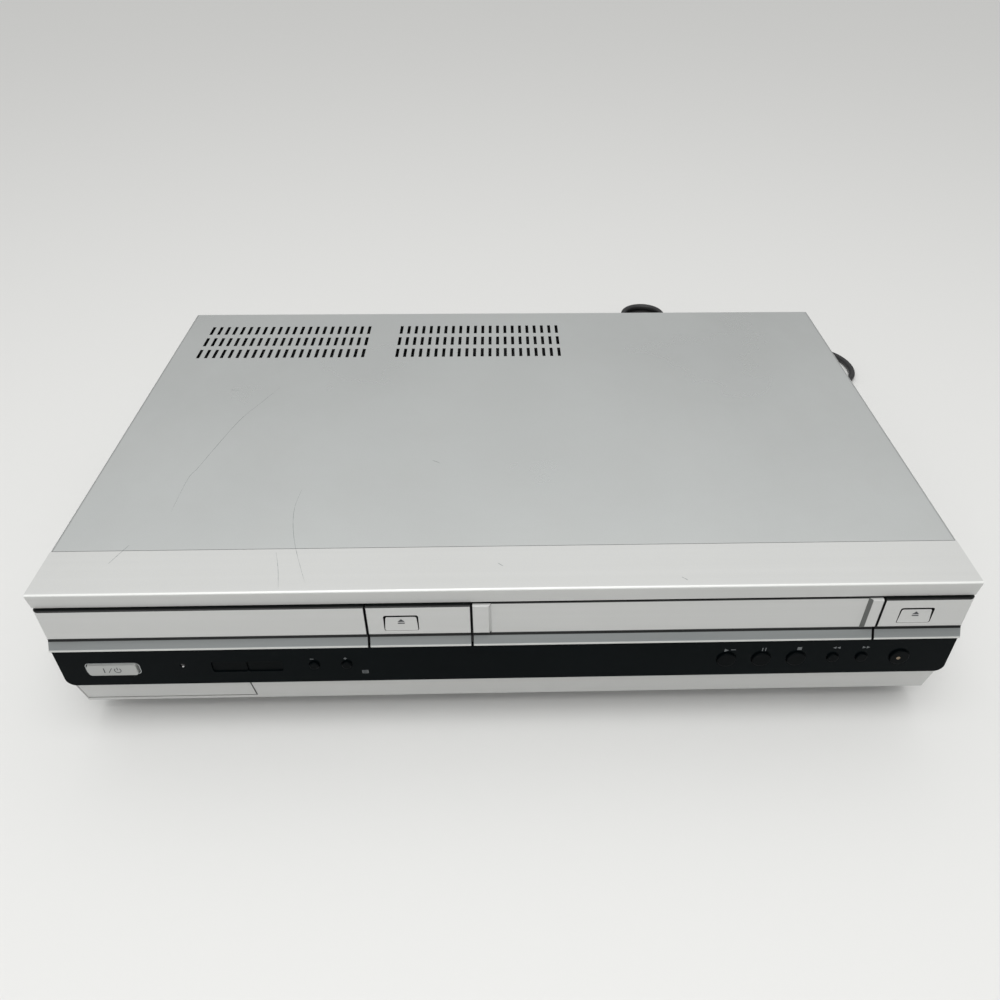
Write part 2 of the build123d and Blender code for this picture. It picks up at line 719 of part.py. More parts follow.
def rear_sockets():
    """Two rows of phono sockets, a round data socket and two screw-type antenna terminals in their carriers."""
    y0 = rear_panel_y + rear_panel_thick + socket_base
    back = rear_panel_y - fit_gap
    tip = y0 + rca_length
    carrier = block(rca_columns[0] - 8, rca_columns[-1] + 8, back - 12, back, rca_low - 8, rca_high + 8)
    for x in rca_columns:
        for z in (rca_low, rca_high):
            carrier += rod_y(x, z, rca_base_radius, back, y0) + rod_y(x, z, rca_radius, y0, tip)
            carrier -= rod_y(x, z, 1.65, back - 8, tip + 1)
    tuner = block(antenna_x - 12, antenna_x + 12, back - 36, back, antenna_z[0] - 10, antenna_z[1] + 10)
    for z in antenna_z:
        tuner += rod_y(antenna_x, z, antenna_base_radius, back, y0)
        tuner += rod_y(antenna_x, z, antenna_radius, y0, y0 + antenna_length)
        tuner -= rod_y(antenna_x, z, 0.6, y0 + 2, y0 + antenna_length + 1)
    data = block(super_video_x - 7, super_video_x + 7, back - 12, back, rca_low - 8, rca_low + 7)
    data += rod_y(super_video_x, rca_low, 4.9, back, y0 + 0.7) - rod_y(super_video_x, rca_low, 4.0,
                                                                       back - 4, y0 + 2)
    for dx, dz in ((-1.7, -1.2), (1.7, -1.2), (-1.7, 1.6), (1.7, 1.6)):
        data += rod_y(super_video_x + dx, rca_low + dz, 0.5, back - 4, y0)
    legs = block(antenna_x - 12, antenna_x + 12, back - 36, back - 32, board_z + board_thick,
                 antenna_z[0] - 10)
    keep("rear_sockets", carrier, tuner + legs, data)


# ---- disc loader ----
def involute_gear(module, teeth, thick, z0, bore):
    """Spur gear from sampled involute flanks, a little thinner than the rack's spaces."""
    pitch = module * teeth / 2
    base = pitch * math.cos(math.radians(20))
    tip = pitch + module
    root = pitch - 1.2 * module
    half = math.pi / (2 * teeth) - 0.06 * module / pitch
    inv20 = math.tan(math.radians(20)) - math.radians(20)
    points = []
    steps = 4
    for k in range(teeth):
        mid = 2 * math.pi * k / teeth
        flank = []
        for s in range(steps + 1):
            r = max(base, root) + (tip - max(base, root)) * s / steps
            a = math.acos(min(1.0, base / r))
            flank.append((r, half + inv20 - (math.tan(a) - a)))
        points.append((root * math.cos(mid - flank[0][1] - 0.02),
                       root * math.sin(mid - flank[0][1] - 0.02)))
        points += [(r * math.cos(mid - t), r * math.sin(mid - t)) for r, t in flank]
        points += [(r * math.cos(mid + t), r * math.sin(mid + t)) for r, t in reversed(flank)]
        points.append((root * math.cos(mid + flank[0][1] + 0.02),
                       root * math.sin(mid + flank[0][1] + 0.02)))
    return along_z(outline(*points), z0, z0 + thick) - rod_z(0, 0, bore, z0 - 1, z0 + thick + 1)


def disc_tray():
    """Sliding tray: stepped wells for both disc sizes, an open slot for the pickup, and a rack below."""
    x0 = tray_x - tray_width / 2
    x1 = tray_x + tray_width / 2
    y0 = door_depth
    y1 = y0 + tray_length
    top = tray_bottom + tray_thick
    body = along_z(rounded(x0, x1, y0 - 4, y1, 3.0) & span(x0, x1, y0, y1), tray_bottom, top)
    body -= rod_z(tray_x, disc_y, disc_well_radius, top - disc_well_depth, top + 1)
    body -= rod_z(tray_x, disc_y, small_well_radius, top - small_well_depth, top + 1)
    slot = Pos(tray_x, disc_y) * Circle(spindle_slot / 2)
    slot += span(tray_x - spindle_slot / 2, tray_x + spindle_slot / 2, disc_y, y1 + 1)
    body -= along_z(slot, tray_bottom - 1, top + 1)
    body -= block(tray_x - 14, tray_x + 14, y0 + 3, disc_y - 45, top - small_well_depth, top + 1)
    # rack: teeth face the gear
    m = rack_module
    pitch = math.pi * m
    first = -math.floor((gear_y - y0 - 4) / pitch)
    last = math.floor((y1 - gear_y - 3) / pitch)
    points = []
    for k in range(first, last + 1):
        mid = gear_y + (k + 0.5) * pitch
        root_half = pitch / 4 + 1.2 * m * math.tan(math.radians(20)) - 0.06
        tip_half = pitch / 4 - m * math.tan(math.radians(20)) - 0.06
        points += [(rack_x + 1.2 * m, mid - root_half), (rack_x - m, mid - tip_half),
                   (rack_x - m, mid + tip_half), (rack_x + 1.2 * m, mid + root_half)]
    end = points[-1][1]
    points += [(rack_x + 3.4, end), (rack_x + 3.4, points[0][1])]
    body += along_z(outline(*points), tray_bottom - rack_height, tray_bottom)
    keep("disc_tray", body)


def tray_gear():
    z0 = tray_bottom - rack_height + 0.4
    body = involute_gear(rack_module, gear_teeth, 5.0, z0, 1.5 + running_clearance)
    keep("tray_gear", Pos(gear_x, gear_y, 0) * body)


def loader_chassis():
    """Open frame that carries the tray on two ledges, the traverse on two ears and the gear on a stud."""
    half = tray_width / 2 + loader_clear
    x0 = tray_x - half - loader_wall
    x1 = tray_x + half + loader_wall
    z0 = loader_bottom
    floor = 2.0
    body = block(x0, x1, loader_front, loader_rear, z0, bridge_z)
    body -= block(tray_x - half, tray_x + half, loader_front - 1, loader_rear - loader_wall,
                  tray_bottom - fit_gap,
                  bridge_z + 1)
    body -= block(tray_x - half + ledge_width, tray_x + half - ledge_width, loader_front - 1,
                  loader_rear - loader_wall, z0 + floor, bridge_z + 1)
    opening = traverse_width / 2 + 1.5
    body -= block(tray_x - opening, tray_x + opening, traverse_front - 4, traverse_pivot_y + 8, z0 - 1,
                  z0 + floor + 1)
    for side in (-1, 1):
        a = tray_x + side * opening
        ear = block(min(a, a + side * 3), max(a, a + side * 3), traverse_pivot_y - 5, traverse_pivot_y + 5,
                    z0 + floor, traverse_z + traverse_thick + 3)
        ear -= rod_x(traverse_pivot_y, traverse_z + traverse_thick / 2, pivot_radius + running_clearance,
                     a - 10, a + 10)
        body += ear
        # hooks that keep the tray down
        for y in (30.0, 100.0, 170.0):
            h0 = tray_x + side * (half - 2.4)
            h1 = tray_x + side * (half + loader_wall)
            body += block(min(h0, h1), max(h0, h1), y, y + 10, tray_bottom + tray_thick + fit_gap, bridge_z)
    body += rod_z(gear_x, gear_y, 1.5, z0 + floor, tray_bottom - 0.6)
    body += rod_z(gear_x, gear_y, 3.0, z0 + floor, tray_bottom - rack_height + 0.1)
    keep("loader_chassis", body)


def clamp_bridge():
    """Pressed bridge over the tray with the seat of the disc clamp."""
    half = tray_width / 2 + loader_clear + loader_wall
    width = 24.0
    plan = Pos(tray_x, disc_y) * Circle(clamp_radius + 6) + span(tray_x - half, tray_x + half,
                                                                 disc_y - width / 2,
                                                               disc_y + width / 2)
    body = along_z(plan, bridge_z, bridge_z + 1.2)
    body -= rod_z(tray_x, disc_y, clamp_radius - 3, bridge_z - 1, bridge_z + 3)
    for side in (-1, 1):
        x = tray_x + side * (half - 20)
        body += block(x - 12, x + 12, disc_y - 1, disc_y + 1, bridge_z + 1.2, bridge_z + 3.0)
    keep("clamp_bridge", body)


def disc_clamp():
    """Round puck that hangs in the bridge and grips the disc's hub from above."""
    top = bridge_z + 1.2 + running_clearance
    profile = outline(
        (0, bridge_z + 0.6), (clamp_recess, bridge_z + 0.6), (clamp_recess, bridge_z - 2.0),
        (clamp_radius - 3.3, bridge_z - 2.0),
        (clamp_radius - 3.3, top), (clamp_radius, top), (clamp_radius, top + 1.6), (9.0, top + 3.0),
        (0, top + 3.0))
    keep("disc_clamp", Pos(tray_x, disc_y, 0) * revolve(Plane.XZ * profile, Axis.Z))


def traverse():
    """Swinging frame with the spindle motor at its free end and a window for the pickup."""
    half = traverse_width / 2
    z0 = traverse_z
    z1 = z0 + traverse_thick
    plan = rounded(tray_x - half, tray_x + half, traverse_front, traverse_pivot_y + 4, 3.0)
    plan -= span(tray_x - sled_gap_half, tray_x + sled_gap_half, disc_y + turntable_radius + 2,
                 disc_y + turntable_radius + 2 + sled_window)
    body = along_z(plan, z0, z1)
    body += rod_z(tray_x, disc_y, 11.5, z0 - 8, z0)
    body += rod_z(tray_x, disc_y, 5.0, z1, z1 + 3.0)
    body -= rod_z(tray_x, disc_y, spindle_radius + running_clearance, z0 - 7, z1 + 4)
    for side in (-1, 1):
        a = tray_x + side * half
        body += rod_x(traverse_pivot_y, z0 + traverse_thick / 2, pivot_radius, min(a, a + side * 4.2),
                      max(a, a + side * 4.2))
    for side in (-1, 1):
        y0 = disc_y + turntable_radius + 2
        for y in (y0 - 5, y0 + sled_window):
            body -= rod_y(tray_x + side * rail_offset, z0 + traverse_thick / 2, rail_radius, y, y + 5)
    keep("traverse", body)
    rails = [rod_y(tray_x + side * rail_offset, z0 + traverse_thick / 2, rail_radius,
                   disc_y + turntable_radius - 2.9,
                   disc_y + turntable_radius + sled_window + 6.9) for side in (-1, 1)]
    keep("pickup_rails", *rails)


def turntable():
    """Turntable with its centring cone and rubber ring, on the motor's shaft."""
    z0 = traverse_z + traverse_thick + 3.4
    top = turntable_top
    profile = outline((0, z0), (4.5, z0), (4.5, top - 2.0), (turntable_radius, top - 2.0),
                      (turntable_radius, top),
                      (7.2, top), (7.2, top + 0.8), (5.6, top + 2.4), (0, top + 2.4))
    body = revolve(Plane.XZ * profile, Axis.Z)
    shaft = rod_z(0, 0, spindle_radius, traverse_z - 6.5, z0)
    keep("turntable", Pos(tray_x, disc_y, 0) * (body + shaft))


def pickup_sled():
    """Pickup body that runs on the two rails, with the lens holder on top."""
    zc = traverse_z + traverse_thick / 2
    y0 = sled_start - sled_length / 2
    y1 = y0 + sled_length
    body = along_x(outline((y0, zc - 2.6), (y1, zc - 2.6), (y1, zc + 3.6), (y0 + 3, zc + 4.6),
                           (y0, zc + 3.6)),
                   tray_x - sled_width / 2, tray_x + sled_width / 2)
    for side in (-1, 1):
        x = tray_x + side * rail_offset
        body += block(min(x - 3.2, tray_x), max(x + 3.2, tray_x), y0 + 2, y1 - 2, zc - 2.6, zc + 2.6)
    for side in (-1, 1):
        body -= rod_y(tray_x + side * rail_offset, zc, rail_radius + running_clearance, y0 - 1, y1 + 1)
    body += block(tray_x - 8, tray_x + 8, y0 + 4, y1 - 6, zc + 3.0, zc + 5.4)
    body += rod_z(tray_x, y0 + 9, 3.4, zc + 5.4, zc + 6.6)
    keep("pickup_sled", body)


# ---- cassette deck ----
def polar(r, degrees_from_front, side):
    """A point around the drum, measured from its front; side is -1 to the left, +1 to the right."""
    a = math.radians(degrees_from_front)
    return deck_x + side * r * math.sin(a), drum_y - r * math.cos(a)


def arc_slot(side, width):
    """Curved slot that a loading post runs along."""
    steps = 24
    inner = []
    outer = []
    for i in range(steps + 1):
        a = post_rest - 5.5 + (post_travel + 11.0) * i / steps
        inner.append(polar(post_orbit - width / 2, a, side))
        outer.append(polar(post_orbit + width / 2, a, side))
    return outline(*(inner + outer[::-1]))


def deck_plate():
    """Main plate of the cassette mechanism, with the curved slots, bearings, erase head and mode motor."""
    z0 = deck_z
    z1 = z0 + deck_thick
    plan = rounded(deck_left, deck_right, deck_front, deck_rear, 4.0)
    plan -= Pos(deck_x, drum_y) * Circle(ring_inner - 0.6)
    for side in (-1, 1):
        plan -= arc_slot(side, 2 * post_radius + 2.0)
        plan -= Pos(deck_x, 118) * span(side * 30 - 12, side * 30 + 12, -10, 10)
    body = along_z(plan, z0, z1)
    for side in (-1, 1):
        body += rod_z(deck_x + side * reel_spacing / 2, reel_y, reel_shaft, z1, z1 + 14)
    cx = deck_x + capstan_offset
    body += rod_z(cx, capstan_y, 5.0, z1, z1 + 8)
    body -= rod_z(cx, capstan_y, capstan_radius + running_clearance, z0 - 1, z1 + 9)
    body += rod_z(arm_pivot[0], arm_pivot[1], 3.0, z1, z1 + 9)
    body -= rod_z(arm_pivot[0], arm_pivot[1], 1.8 + running_clearance, z1 + 3.5, z1 + 10)
    body += block(cx - 15, cx - 7, capstan_y - 6, capstan_y + 3, z1, z1 + 22)
    body += block(deck_left + 10, deck_left + 24, 150, 182, z1, z1 + 16)
    body += rod_y(deck_left + 17, z1 + 6, 1.5, 130, 150)
    keep("deck_plate", body)


def carriage_bracket():
    """Inverted sheet channel that the carriage runs in."""
    inner = cassette_width / 2 + holder_sheet + 2.4
    outer = inner + 1.2
    z0 = deck_z + deck_thick
    profile = span(deck_x - outer, deck_x + outer, z0, bracket_top)
    profile -= span(deck_x - inner, deck_x + inner, z0 - 1, bracket_top - 1.0)
    body = along_y(profile, holder_front + 3, 152)
    body -= block(deck_x - inner + 20, deck_x + inner - 20, holder_front, 100, bracket_top - 3,
                  bracket_top + 1)
    for side in (-1, 1):
        x = deck_x + side * (inner + 0.6)
        slot = rounded(holder_front + 8, 150, 83.4, 86.8, 1.6)
        body -= along_x(slot, x - 2, x + 2)
        body -= along_x(rounded(holder_front + 10, 146, z0 + 8, z0 + 26, 3.0), x - 2, x + 2)
    keep("carriage_bracket", body)


def carriage_slider():
    """Two side plates joined by a cross shaft; they carry the holder back."""
    inner = cassette_width / 2 + holder_sheet + 0.5
    y0 = holder_front + 8
    y1 = y0 + 42
    found = rod_x(y0 + 40, bracket_top - 2.6, 1.1, deck_x - inner - 1.2, deck_x + inner + 1.2)
    for side in (-1, 1):
        a = deck_x + side * inner
        b = deck_x + side * (inner + 1.2)
        plate = along_x(outline((y0, 50), (y1, 50), (y1, bracket_top - 4.5), (y1 + 1.5, bracket_top - 1.4),
                                (y1 - 3.5, bracket_top - 1.4), (y1 - 7, bracket_top - 5.5), (y0, 87.4)),
                        min(a, b), max(a, b))
        for y in (y0 + 6, y0 + 34):
            plate -= along_x(rounded(y - 1.6, y + 1.6, 80 - holder_drop - 1.7, 81.7, 1.5), a - 4, a + 4)
            pin = rod_x(y + 5, 85.1, 1.4, min(b, b + side * 2.2), max(b, b + side * 2.2))
            plate += pin
        found += plate
    keep("carriage_slider", found)


def cassette_holder():
    """Channel that wraps the cassette: side walls, floor lips, and a bridging roof with a stiffening bead."""
    half = cassette_width / 2
    s = holder_sheet
    z0 = holder_floor
    z1 = z0 + s + cassette_height + s
    profile = span(deck_x - half - s, deck_x + half + s, z0, z1)
    profile -= span(deck_x - half, deck_x + half, z0 + s, z1 - s)
    profile -= span(deck_x - half + holder_lip, deck_x + half - holder_lip, z0 - 1, z0 + s + 1)
    y0 = holder_front
    y1 = y0 + holder_length
    body = along_y(profile, y0, y1)
    body -= along_z(rounded(deck_x - 60, deck_x + 60, y0 - 10, y0 + 34, 6.0), z1 - s - 0.5, z1 + 1)
    for side in (-1, 1):
        a = deck_x + side * (half + s)
        for y in (holder_front + 14, holder_front + 42):
            body += rod_x(y, 80.0, 1.4, min(a, a + side * 1.9), max(a, a + side * 1.9))
        stop = sorted((deck_x + side * half, deck_x + side * (half - 6)))
        body += block(stop[0], stop[1], y1 - s, y1, z0, z0 + 16)
    keep("cassette_holder", body)


drum_frame = Pos(deck_x, drum_y, drum_z) * Rot(-drum_tilt, 0, 0)


def drums():
    """Tilted two-part head drum: the fixed half has the ledge that guides the tape's edge."""
    lower = rod_z(0, 0, drum_radius, 0, lower_drum_height)
    ledge = rod_z(0, 0, drum_radius + 0.7, 0, 11.0)
    ledge -= Pos(0, 0, 6.0) * Rot(0, 9.0, 0) * block(-60, 60, -60, 60, 0, 40)
    lower += ledge
    lower += rod_z(0, 0, 20.0, -11, 0)
    lower -= rod_z(0, 0, 4.0 + running_clearance, 2, lower_drum_height + 1)
    base = rod_z(deck_x, drum_y, 27.0, deck_z + deck_thick + fit_gap, drum_z + 4)
    base -= rod_z(deck_x, drum_y, 18.0, deck_z, drum_z + 2)
    base -= drum_frame * rod_z(0, 0, 4.0 + running_clearance, 2, lower_drum_height)
    keep("lower_drum", drum_frame * lower + base)
    z0 = lower_drum_height + drum_gap
    z1 = z0 + upper_drum_height
    profile = outline((0, z0), (drum_radius - 0.6, z0), (drum_radius, z0 + 0.6), (drum_radius, z1 - 0.8),
                      (drum_radius - 0.8, z1), (26.0, z1), (24.5, z1 - 3.0), (11.0, z1 - 3.0), (10.0, z1),
                      (0, z1))
    upper = revolve(Plane.XZ * profile, Axis.Z)
    upper += rod_z(0, 0, 4.0, 3, z0)
    for k in range(2):
        upper -= Rot(0, 0, 180 * k) * block(-1.5, 1.5, drum_radius - 1.2, drum_radius + 2, z0 - 1, z0 + 2.5)
    for k in range(6):
        upper -= Rot(0, 0, 60 * k) * rod_z(17.5, 0, 2.0, z1 - 6, z1 + 1)
    keep("upper_drum", drum_frame * upper)


def reel_tables():
    """Reel tables with a toothed rim and a three-winged spindle."""
    z = deck_z + deck_thick + 0.5
    for name, side in (("supply_reel", -1), ("takeup_reel", 1)):
        profile = outline((reel_shaft + running_clearance, z), (reel_radius, z), (reel_radius, z + 3),
                          (reel_radius - 3, z + 3.6), (9.0, z + 5.0), (6.4, z + 6.0), (6.4, z + 16.5),
                          (4.4, z + 19.5),
                          (0, z + 19.5), (0, z + 14.5), (reel_shaft + running_clearance, z + 14.5))
        body = revolve(Plane.XZ * profile, Axis.Z)
        for k in range(3):
            wing = outline((5.0, z + 5.0), (8.6, z + 5.0), (8.6, z + 13.5), (6.0, z + 17.5),
                           (5.0, z + 17.5))
            body += Rot(0, 0, 120 * k) * (Pos(0, 0.75, 0) * extrude(Plane.XZ * wing, 1.5))
        for k in range(30):
            body -= Rot(0, 0, 12 * k) * block(reel_radius - 0.9, reel_radius + 1, -0.9, 0.9, z - 1, z + 2.4)
        keep(name, Pos(deck_x + side * reel_spacing / 2, reel_y, 0) * body)


def capstan():
    """Capstan shaft with its flywheel below the deck."""
    z = deck_z
    profile = outline((0, 20.5), (1.0, 20.5), (6.0, 22.5), (flywheel_radius, 22.5), (flywheel_radius, 29.5),
                      (flywheel_radius - 3, 29.5), (flywheel_radius - 4, 26.5), (8.0, 26.5), (7.0, 30.5),
                      (capstan_radius, 30.5), (capstan_radius, z + 34), (capstan_radius - 0.6, z + 34.8),
                      (0, z + 34.8))
    body = revolve(Plane.XZ * profile, Axis.Z)
    keep("capstan", Pos(deck_x + capstan_offset, capstan_y, 0) * body)


def pinch_arm():
    """Swinging arm with the pinch roller, held clear of the capstan at rest."""
    z0 = deck_z + deck_thick + 9 + 0.3
    pressed = math.degrees(math.atan2(capstan_y + capstan_radius + roller_radius + 0.15 - arm_pivot[1],
                                      -arm_length))
    rest = pressed - arm_swing
    rx = arm_length * math.cos(math.radians(rest))
    ry = arm_length * math.sin(math.radians(rest))
    arm = Rot(0, 0, rest) * (span(0, arm_length, -3.0, 3.0) + Circle(5.0) + Pos(arm_length,
                                                                                0) * Circle(3.6))
    body = along_z(arm, z0, z0 + 2.0)
    body += rod_z(0, 0, 1.8, z0 - 5, z0 + 4)
    body += rod_z(rx, ry, 1.5, z0 + 2.0, z0 + 16)
    body += rod_z(rx, ry, roller_radius, z0 + 2.6, z0 + 15) - rod_z(rx, ry, 1.0, z0 + 2.6, z0 + 15)
    keep("pinch_arm", Pos(arm_pivot[0], arm_pivot[1], 0) * body)


def loading_rings():
    """Two coaxial rings under the deck; each carries a guide post and a slanted pole up through its slot."""
    for name, side, z0 in (("supply_loading_ring", -1, 34.6), ("takeup_loading_ring", 1, 31.6)):
        z1 = z0 + 2.0
        body = rod_z(deck_x, drum_y, ring_outer, z0, z1) - rod_z(deck_x, drum_y, ring_inner, z0 - 1, z1 + 1)
        px, py = polar(post_orbit, post_rest, side)
        ix, iy = polar(ring_outer - 2, post_rest, side)
        turn = math.degrees(math.atan2(py - iy, px - ix))
        bar = Pos(ix, iy) * Rot(0, 0, turn) * span(0, post_orbit - ring_outer + 5, -3.2, 3.2)
        body += along_z(bar, z0, z1)
        body += rod_z(px, py, post_radius, z1, 42.0)
        body += rod_z(px, py, 2.0, 42.0, 66.0)
        body += rod_z(px, py, post_radius, 46.0, 60.5)
        body += rod_z(px, py, 3.6, 62.0, 63.5)
        keep(name, body)


# ---- mains cord ----
def tube(path, diameter):
    """Round tube along a path, square at its start."""
    start = path @ 0
    plane = Plane(origin=start, z_dir=path % 0)
    return sweep(plane * Circle(diameter / 2), path=path)


hank_y1 = hank_y + hank_run
cord_points = [
    (cord_exit_x, gland_tip, cord_exit_z),
    (cord_exit_x, gland_tip + 19.0, cord_exit_z),
    (cord_exit_x + 2.0, gland_tip + 40.0, cord_exit_z - 9.5),
    (cord_exit_x + 6.0, gland_tip + 60.0, floor_z + 3.5),
    (200.5, 375.0, floor_z),
    (222.0, 391.5, floor_z),
    (250.5, 397.0, floor_z),
    (279.5, 392.5, floor_z),
    (298.0, 374.0, floor_z),
    (299.0, 346.5, floor_z),
    (279.5, 327.0, floor_z),
    (253.8, 318.6, floor_z),
    (227.1, 314.4, floor_z),
    (201.1, 313.0, floor_z),
    (176.1, 314.3, floor_z),
    (hank_x + fold_radius + 9.8, 322.9, floor_z + 0.5),
    (hank_x + fold_radius, hank_y - 18.0, hank_floor),
    (hank_x + fold_radius, hank_y, hank_floor)]


def corner_radii(points):
    """The largest arc that each corner of the cord's route has room for."""
    corners = [Vector(*p) for p in points]
    radii = []
    for a, b, c in zip(corners, corners[1:], corners[2:]):
        turn = math.radians((b - a).get_angle(c - b))
        radii.append(0.45 * min((b - a).length, (c - b).length) / math.tan(turn / 2))
    return radii


def hank_path():
    """One unbroken line of loops: up the inner column, over the top, and down the outer column."""
    inner = fold_radius
    outer = fold_radius + hank_step
    lines = []

    def at(x, y, level):
        return (hank_x + x, y, hank_floor + level * hank_step)

    def run(x, up, level, next_level):
        """A straight run, or two bends that climb or descend to the next level on the way."""
        ya, yb = (hank_y, hank_y1) if up else (hank_y1, hank_y)
        if level == next_level:
            lines.append(Line(at(x, ya, level), at(x, yb, level)))
            return
        half = (yb - ya) / 2
        rise = (next_level - level) / 2
        middle = at(x, ya + half, level + rise)
        lines.append(TangentArc(at(x, ya, level), middle, tangent=(0, 1 if up else -1, 0)))
        lines.append(TangentArc(at(x, yb, next_level), middle, tangent=(0, -1 if up else 1, 0)))
        lines[-1] = ThreePointArc(middle, lines[-1] @ 0.5, at(x, yb, next_level))

    def turn(x0, x1, far, level):
        y = hank_y1 if far else hank_y
        reach = abs(x1 - x0) / 2 * (1 if far else -1)
        lines.append(ThreePointArc(at(x0, y, level), at((x0 + x1) / 2, y + reach, level), at(x1, y, level)))

    levels = hank_layers
    for level in range(levels):
        run(inner, True, level, level)
        if level < levels - 1:
            turn(inner, -inner, True, level)
            run(-inner, False, level, level + 1)
            turn(-inner, inner, False, level + 1)
    turn(inner, -outer, True, levels - 1)
    for level in range(levels - 1, -1, -1):
        run(-outer, False, level, level)
        if level > 0:
            turn(-outer, outer, False, level)
            run(outer, True, level, level - 1)
            turn(outer, -outer, True, level - 1)
    lines.append(Line(at(-outer, hank_y, 0), at(-outer, hank_y - hank_tail, 0)))
    return Wire(lines)


def least_gap(wire, step=2.0):
    """Smallest gap of the wound tube to itself, from points along it."""
    count = int(wire.length / step)
    points = [wire @ (i / count) for i in range(count + 1)]
    apart = int(4 * cord_d / step)
    least = min((points[i] - points[j]).length for i in range(len(points)) for j in range(i + apart,
                                                                                          len(points)))
    return least - cord_d


def cord():
    radii = corner_radii(cord_points)
    print("cord corner radii:", [round(r, 1) for r in radii])
    route = FilletPolyline(*cord_points, radius=radii)
    free = tube(route, cord_d)
    keep("cord_free", free)
    print("free cord: length", round(route.length, 1), "volume ratio",
          round(free.volume / (math.pi * cord_d ** 2 / 4 * route.length), 4))
    wound = hank_path()
    hank = tube(wound, cord_d)
    keep("cord_hank", hank)
    print("hank: length", round(wound.length, 1), "volume ratio",
          round(hank.volume / (math.pi * cord_d ** 2 / 4 * wound.length), 4), "least gap",
          round(least_gap(wound), 2))
    gland()
    tie()
    plug()


def gland():
    """Moulded strain relief: flanges each side of the rear panel and a tapered tail."""
    y0 = rear_panel_y
    t = rear_panel_thick
    r = cord_d / 2
    neck = r + 2.3 - 0.05
    profile = outline((0, -3.0), (neck + 1.6, -3.0), (neck + 1.6, -0.2), (neck, -0.2), (neck, t + 0.2),
                      (neck + 1.6, t + 0.2),
                      (neck + 1.6, t + 2.6), (r + 2.0, t + 4.0), (r + 0.8, t + gland_length),
                      (0, t + gland_length))
    body = revolve(Plane.XZ * profile, Axis.Z)
    keep("cord_gland", Pos(cord_exit_x, y0, cord_exit_z) * Rot(-90, 0, 0) * body)


def tie():
    """Flat band round the middle of the hank."""
    reach = fold_radius + hank_step + cord_d / 2 + tie_gap
    low = hank_floor - cord_d / 2 - tie_gap
    high = hank_floor + (hank_layers - 1) * hank_step + cord_d / 2 + tie_gap
    x0 = hank_x - reach
    x1 = hank_x + reach
    band = rounded(x0 - tie_thick, x1 + tie_thick, low - tie_thick, high + tie_thick, 2.6)
    band -= rounded(x0, x1, low, high, 1.8)
    middle = (hank_y + hank_y1) / 2
    keep("cord_tie", along_y(band, middle - tie_width / 2, middle + tie_width / 2))


def plug():
    """Flat two-pin plug that lies beside the hank, its blades towards the player."""
    x = hank_x - fold_radius - hank_step
    y0 = hank_y - hank_tail
    zc = plug_thick / 2 + 0.1

    def face(back, z):
        return Plane((x, y0 - back, z), x_dir=(1, 0, 0), z_dir=(0, -1, 0))

    back = plug_relief + plug_neck + plug_body
    relief = loft([face(0, hank_floor) * Circle(cord_d / 2 + 0.6), face(plug_relief, zc) * Circle(5.2)])
    body = loft([face(plug_relief, zc) * RectangleRounded(13.0, 11.0, 3.0),
                 face(plug_relief + plug_neck, zc) * RectangleRounded(22.0, plug_thick, 3.0),
                 face(back, zc) * RectangleRounded(24.0, plug_thick, 3.0)], ruled=True)
    found = relief + body
    y1 = y0 - back
    y2 = y1 - plug_blade
    for side in (-1, 1):
        blade = outline((y1, zc - 3.2), (y1, zc + 3.2), (y2 + 1.5, zc + 3.2), (y2, zc + 1.8),
                        (y2, zc - 1.8),
                        (y2 + 1.5, zc - 3.2))
        found += along_x(blade, x + side * 6.35 - 0.75, x + side * 6.35 + 0.75)
    keep("mains_plug", found)


def write_parts():
    """Move every piece into the frame and write one file for each."""
    boxes = [p.bounding_box() for name, p in pieces.items() if not name.startswith(("cord_", "mains_"))]
    middle = (min(b.min.Y for b in boxes) + max(b.max.Y for b in boxes)) / 2
    print("x", round(min(b.min.X for b in boxes), 2), round(max(b.max.X for b in boxes), 2), "middle y",
          round(middle, 3),
          "z", round(min(b.min.Z for b in boxes), 2), round(max(b.max.Z for b in boxes), 2))
    os.makedirs("parts", exist_ok=True)
    for name, piece in pieces.items():
        moved = [Pos(0, -middle, 0) * solid for solid in piece.solids()]
        export_step(moved[0] if len(moved) == 1 else Compound(children=moved), "parts/" + name + ".step")


for make in (top_cover, case_screws, chassis, feet, front_bezel, input_flap, line_sockets, centre_block,
             right_block,
             tray_front, cassette_flap, front_window, front_keys, display_board, main_board, power_board,
             rear_panel,
             rear_sockets, disc_tray, tray_gear, loader_chassis, clamp_bridge, disc_clamp, traverse,
             turntable,
             pickup_sled, deck_plate, carriage_bracket, carriage_slider, cassette_holder, drums,
             reel_tables, capstan,
             pinch_arm, loading_rings, cord):
    make()
write_parts()
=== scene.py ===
import math
import random

import bmesh
import bpy
from mathutils import Matrix, Vector


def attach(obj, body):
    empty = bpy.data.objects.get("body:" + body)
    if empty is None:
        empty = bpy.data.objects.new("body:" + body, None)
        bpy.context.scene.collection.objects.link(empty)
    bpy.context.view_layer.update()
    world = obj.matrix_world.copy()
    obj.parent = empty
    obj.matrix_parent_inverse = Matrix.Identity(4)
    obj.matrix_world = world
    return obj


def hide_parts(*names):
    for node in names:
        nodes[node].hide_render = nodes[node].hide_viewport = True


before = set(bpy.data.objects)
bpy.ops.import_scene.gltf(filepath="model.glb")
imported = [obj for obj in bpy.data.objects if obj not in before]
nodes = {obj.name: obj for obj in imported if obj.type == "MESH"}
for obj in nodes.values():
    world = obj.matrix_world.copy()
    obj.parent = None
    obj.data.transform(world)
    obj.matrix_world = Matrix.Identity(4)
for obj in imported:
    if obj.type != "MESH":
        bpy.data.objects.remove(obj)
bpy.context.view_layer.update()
MM = 0.001

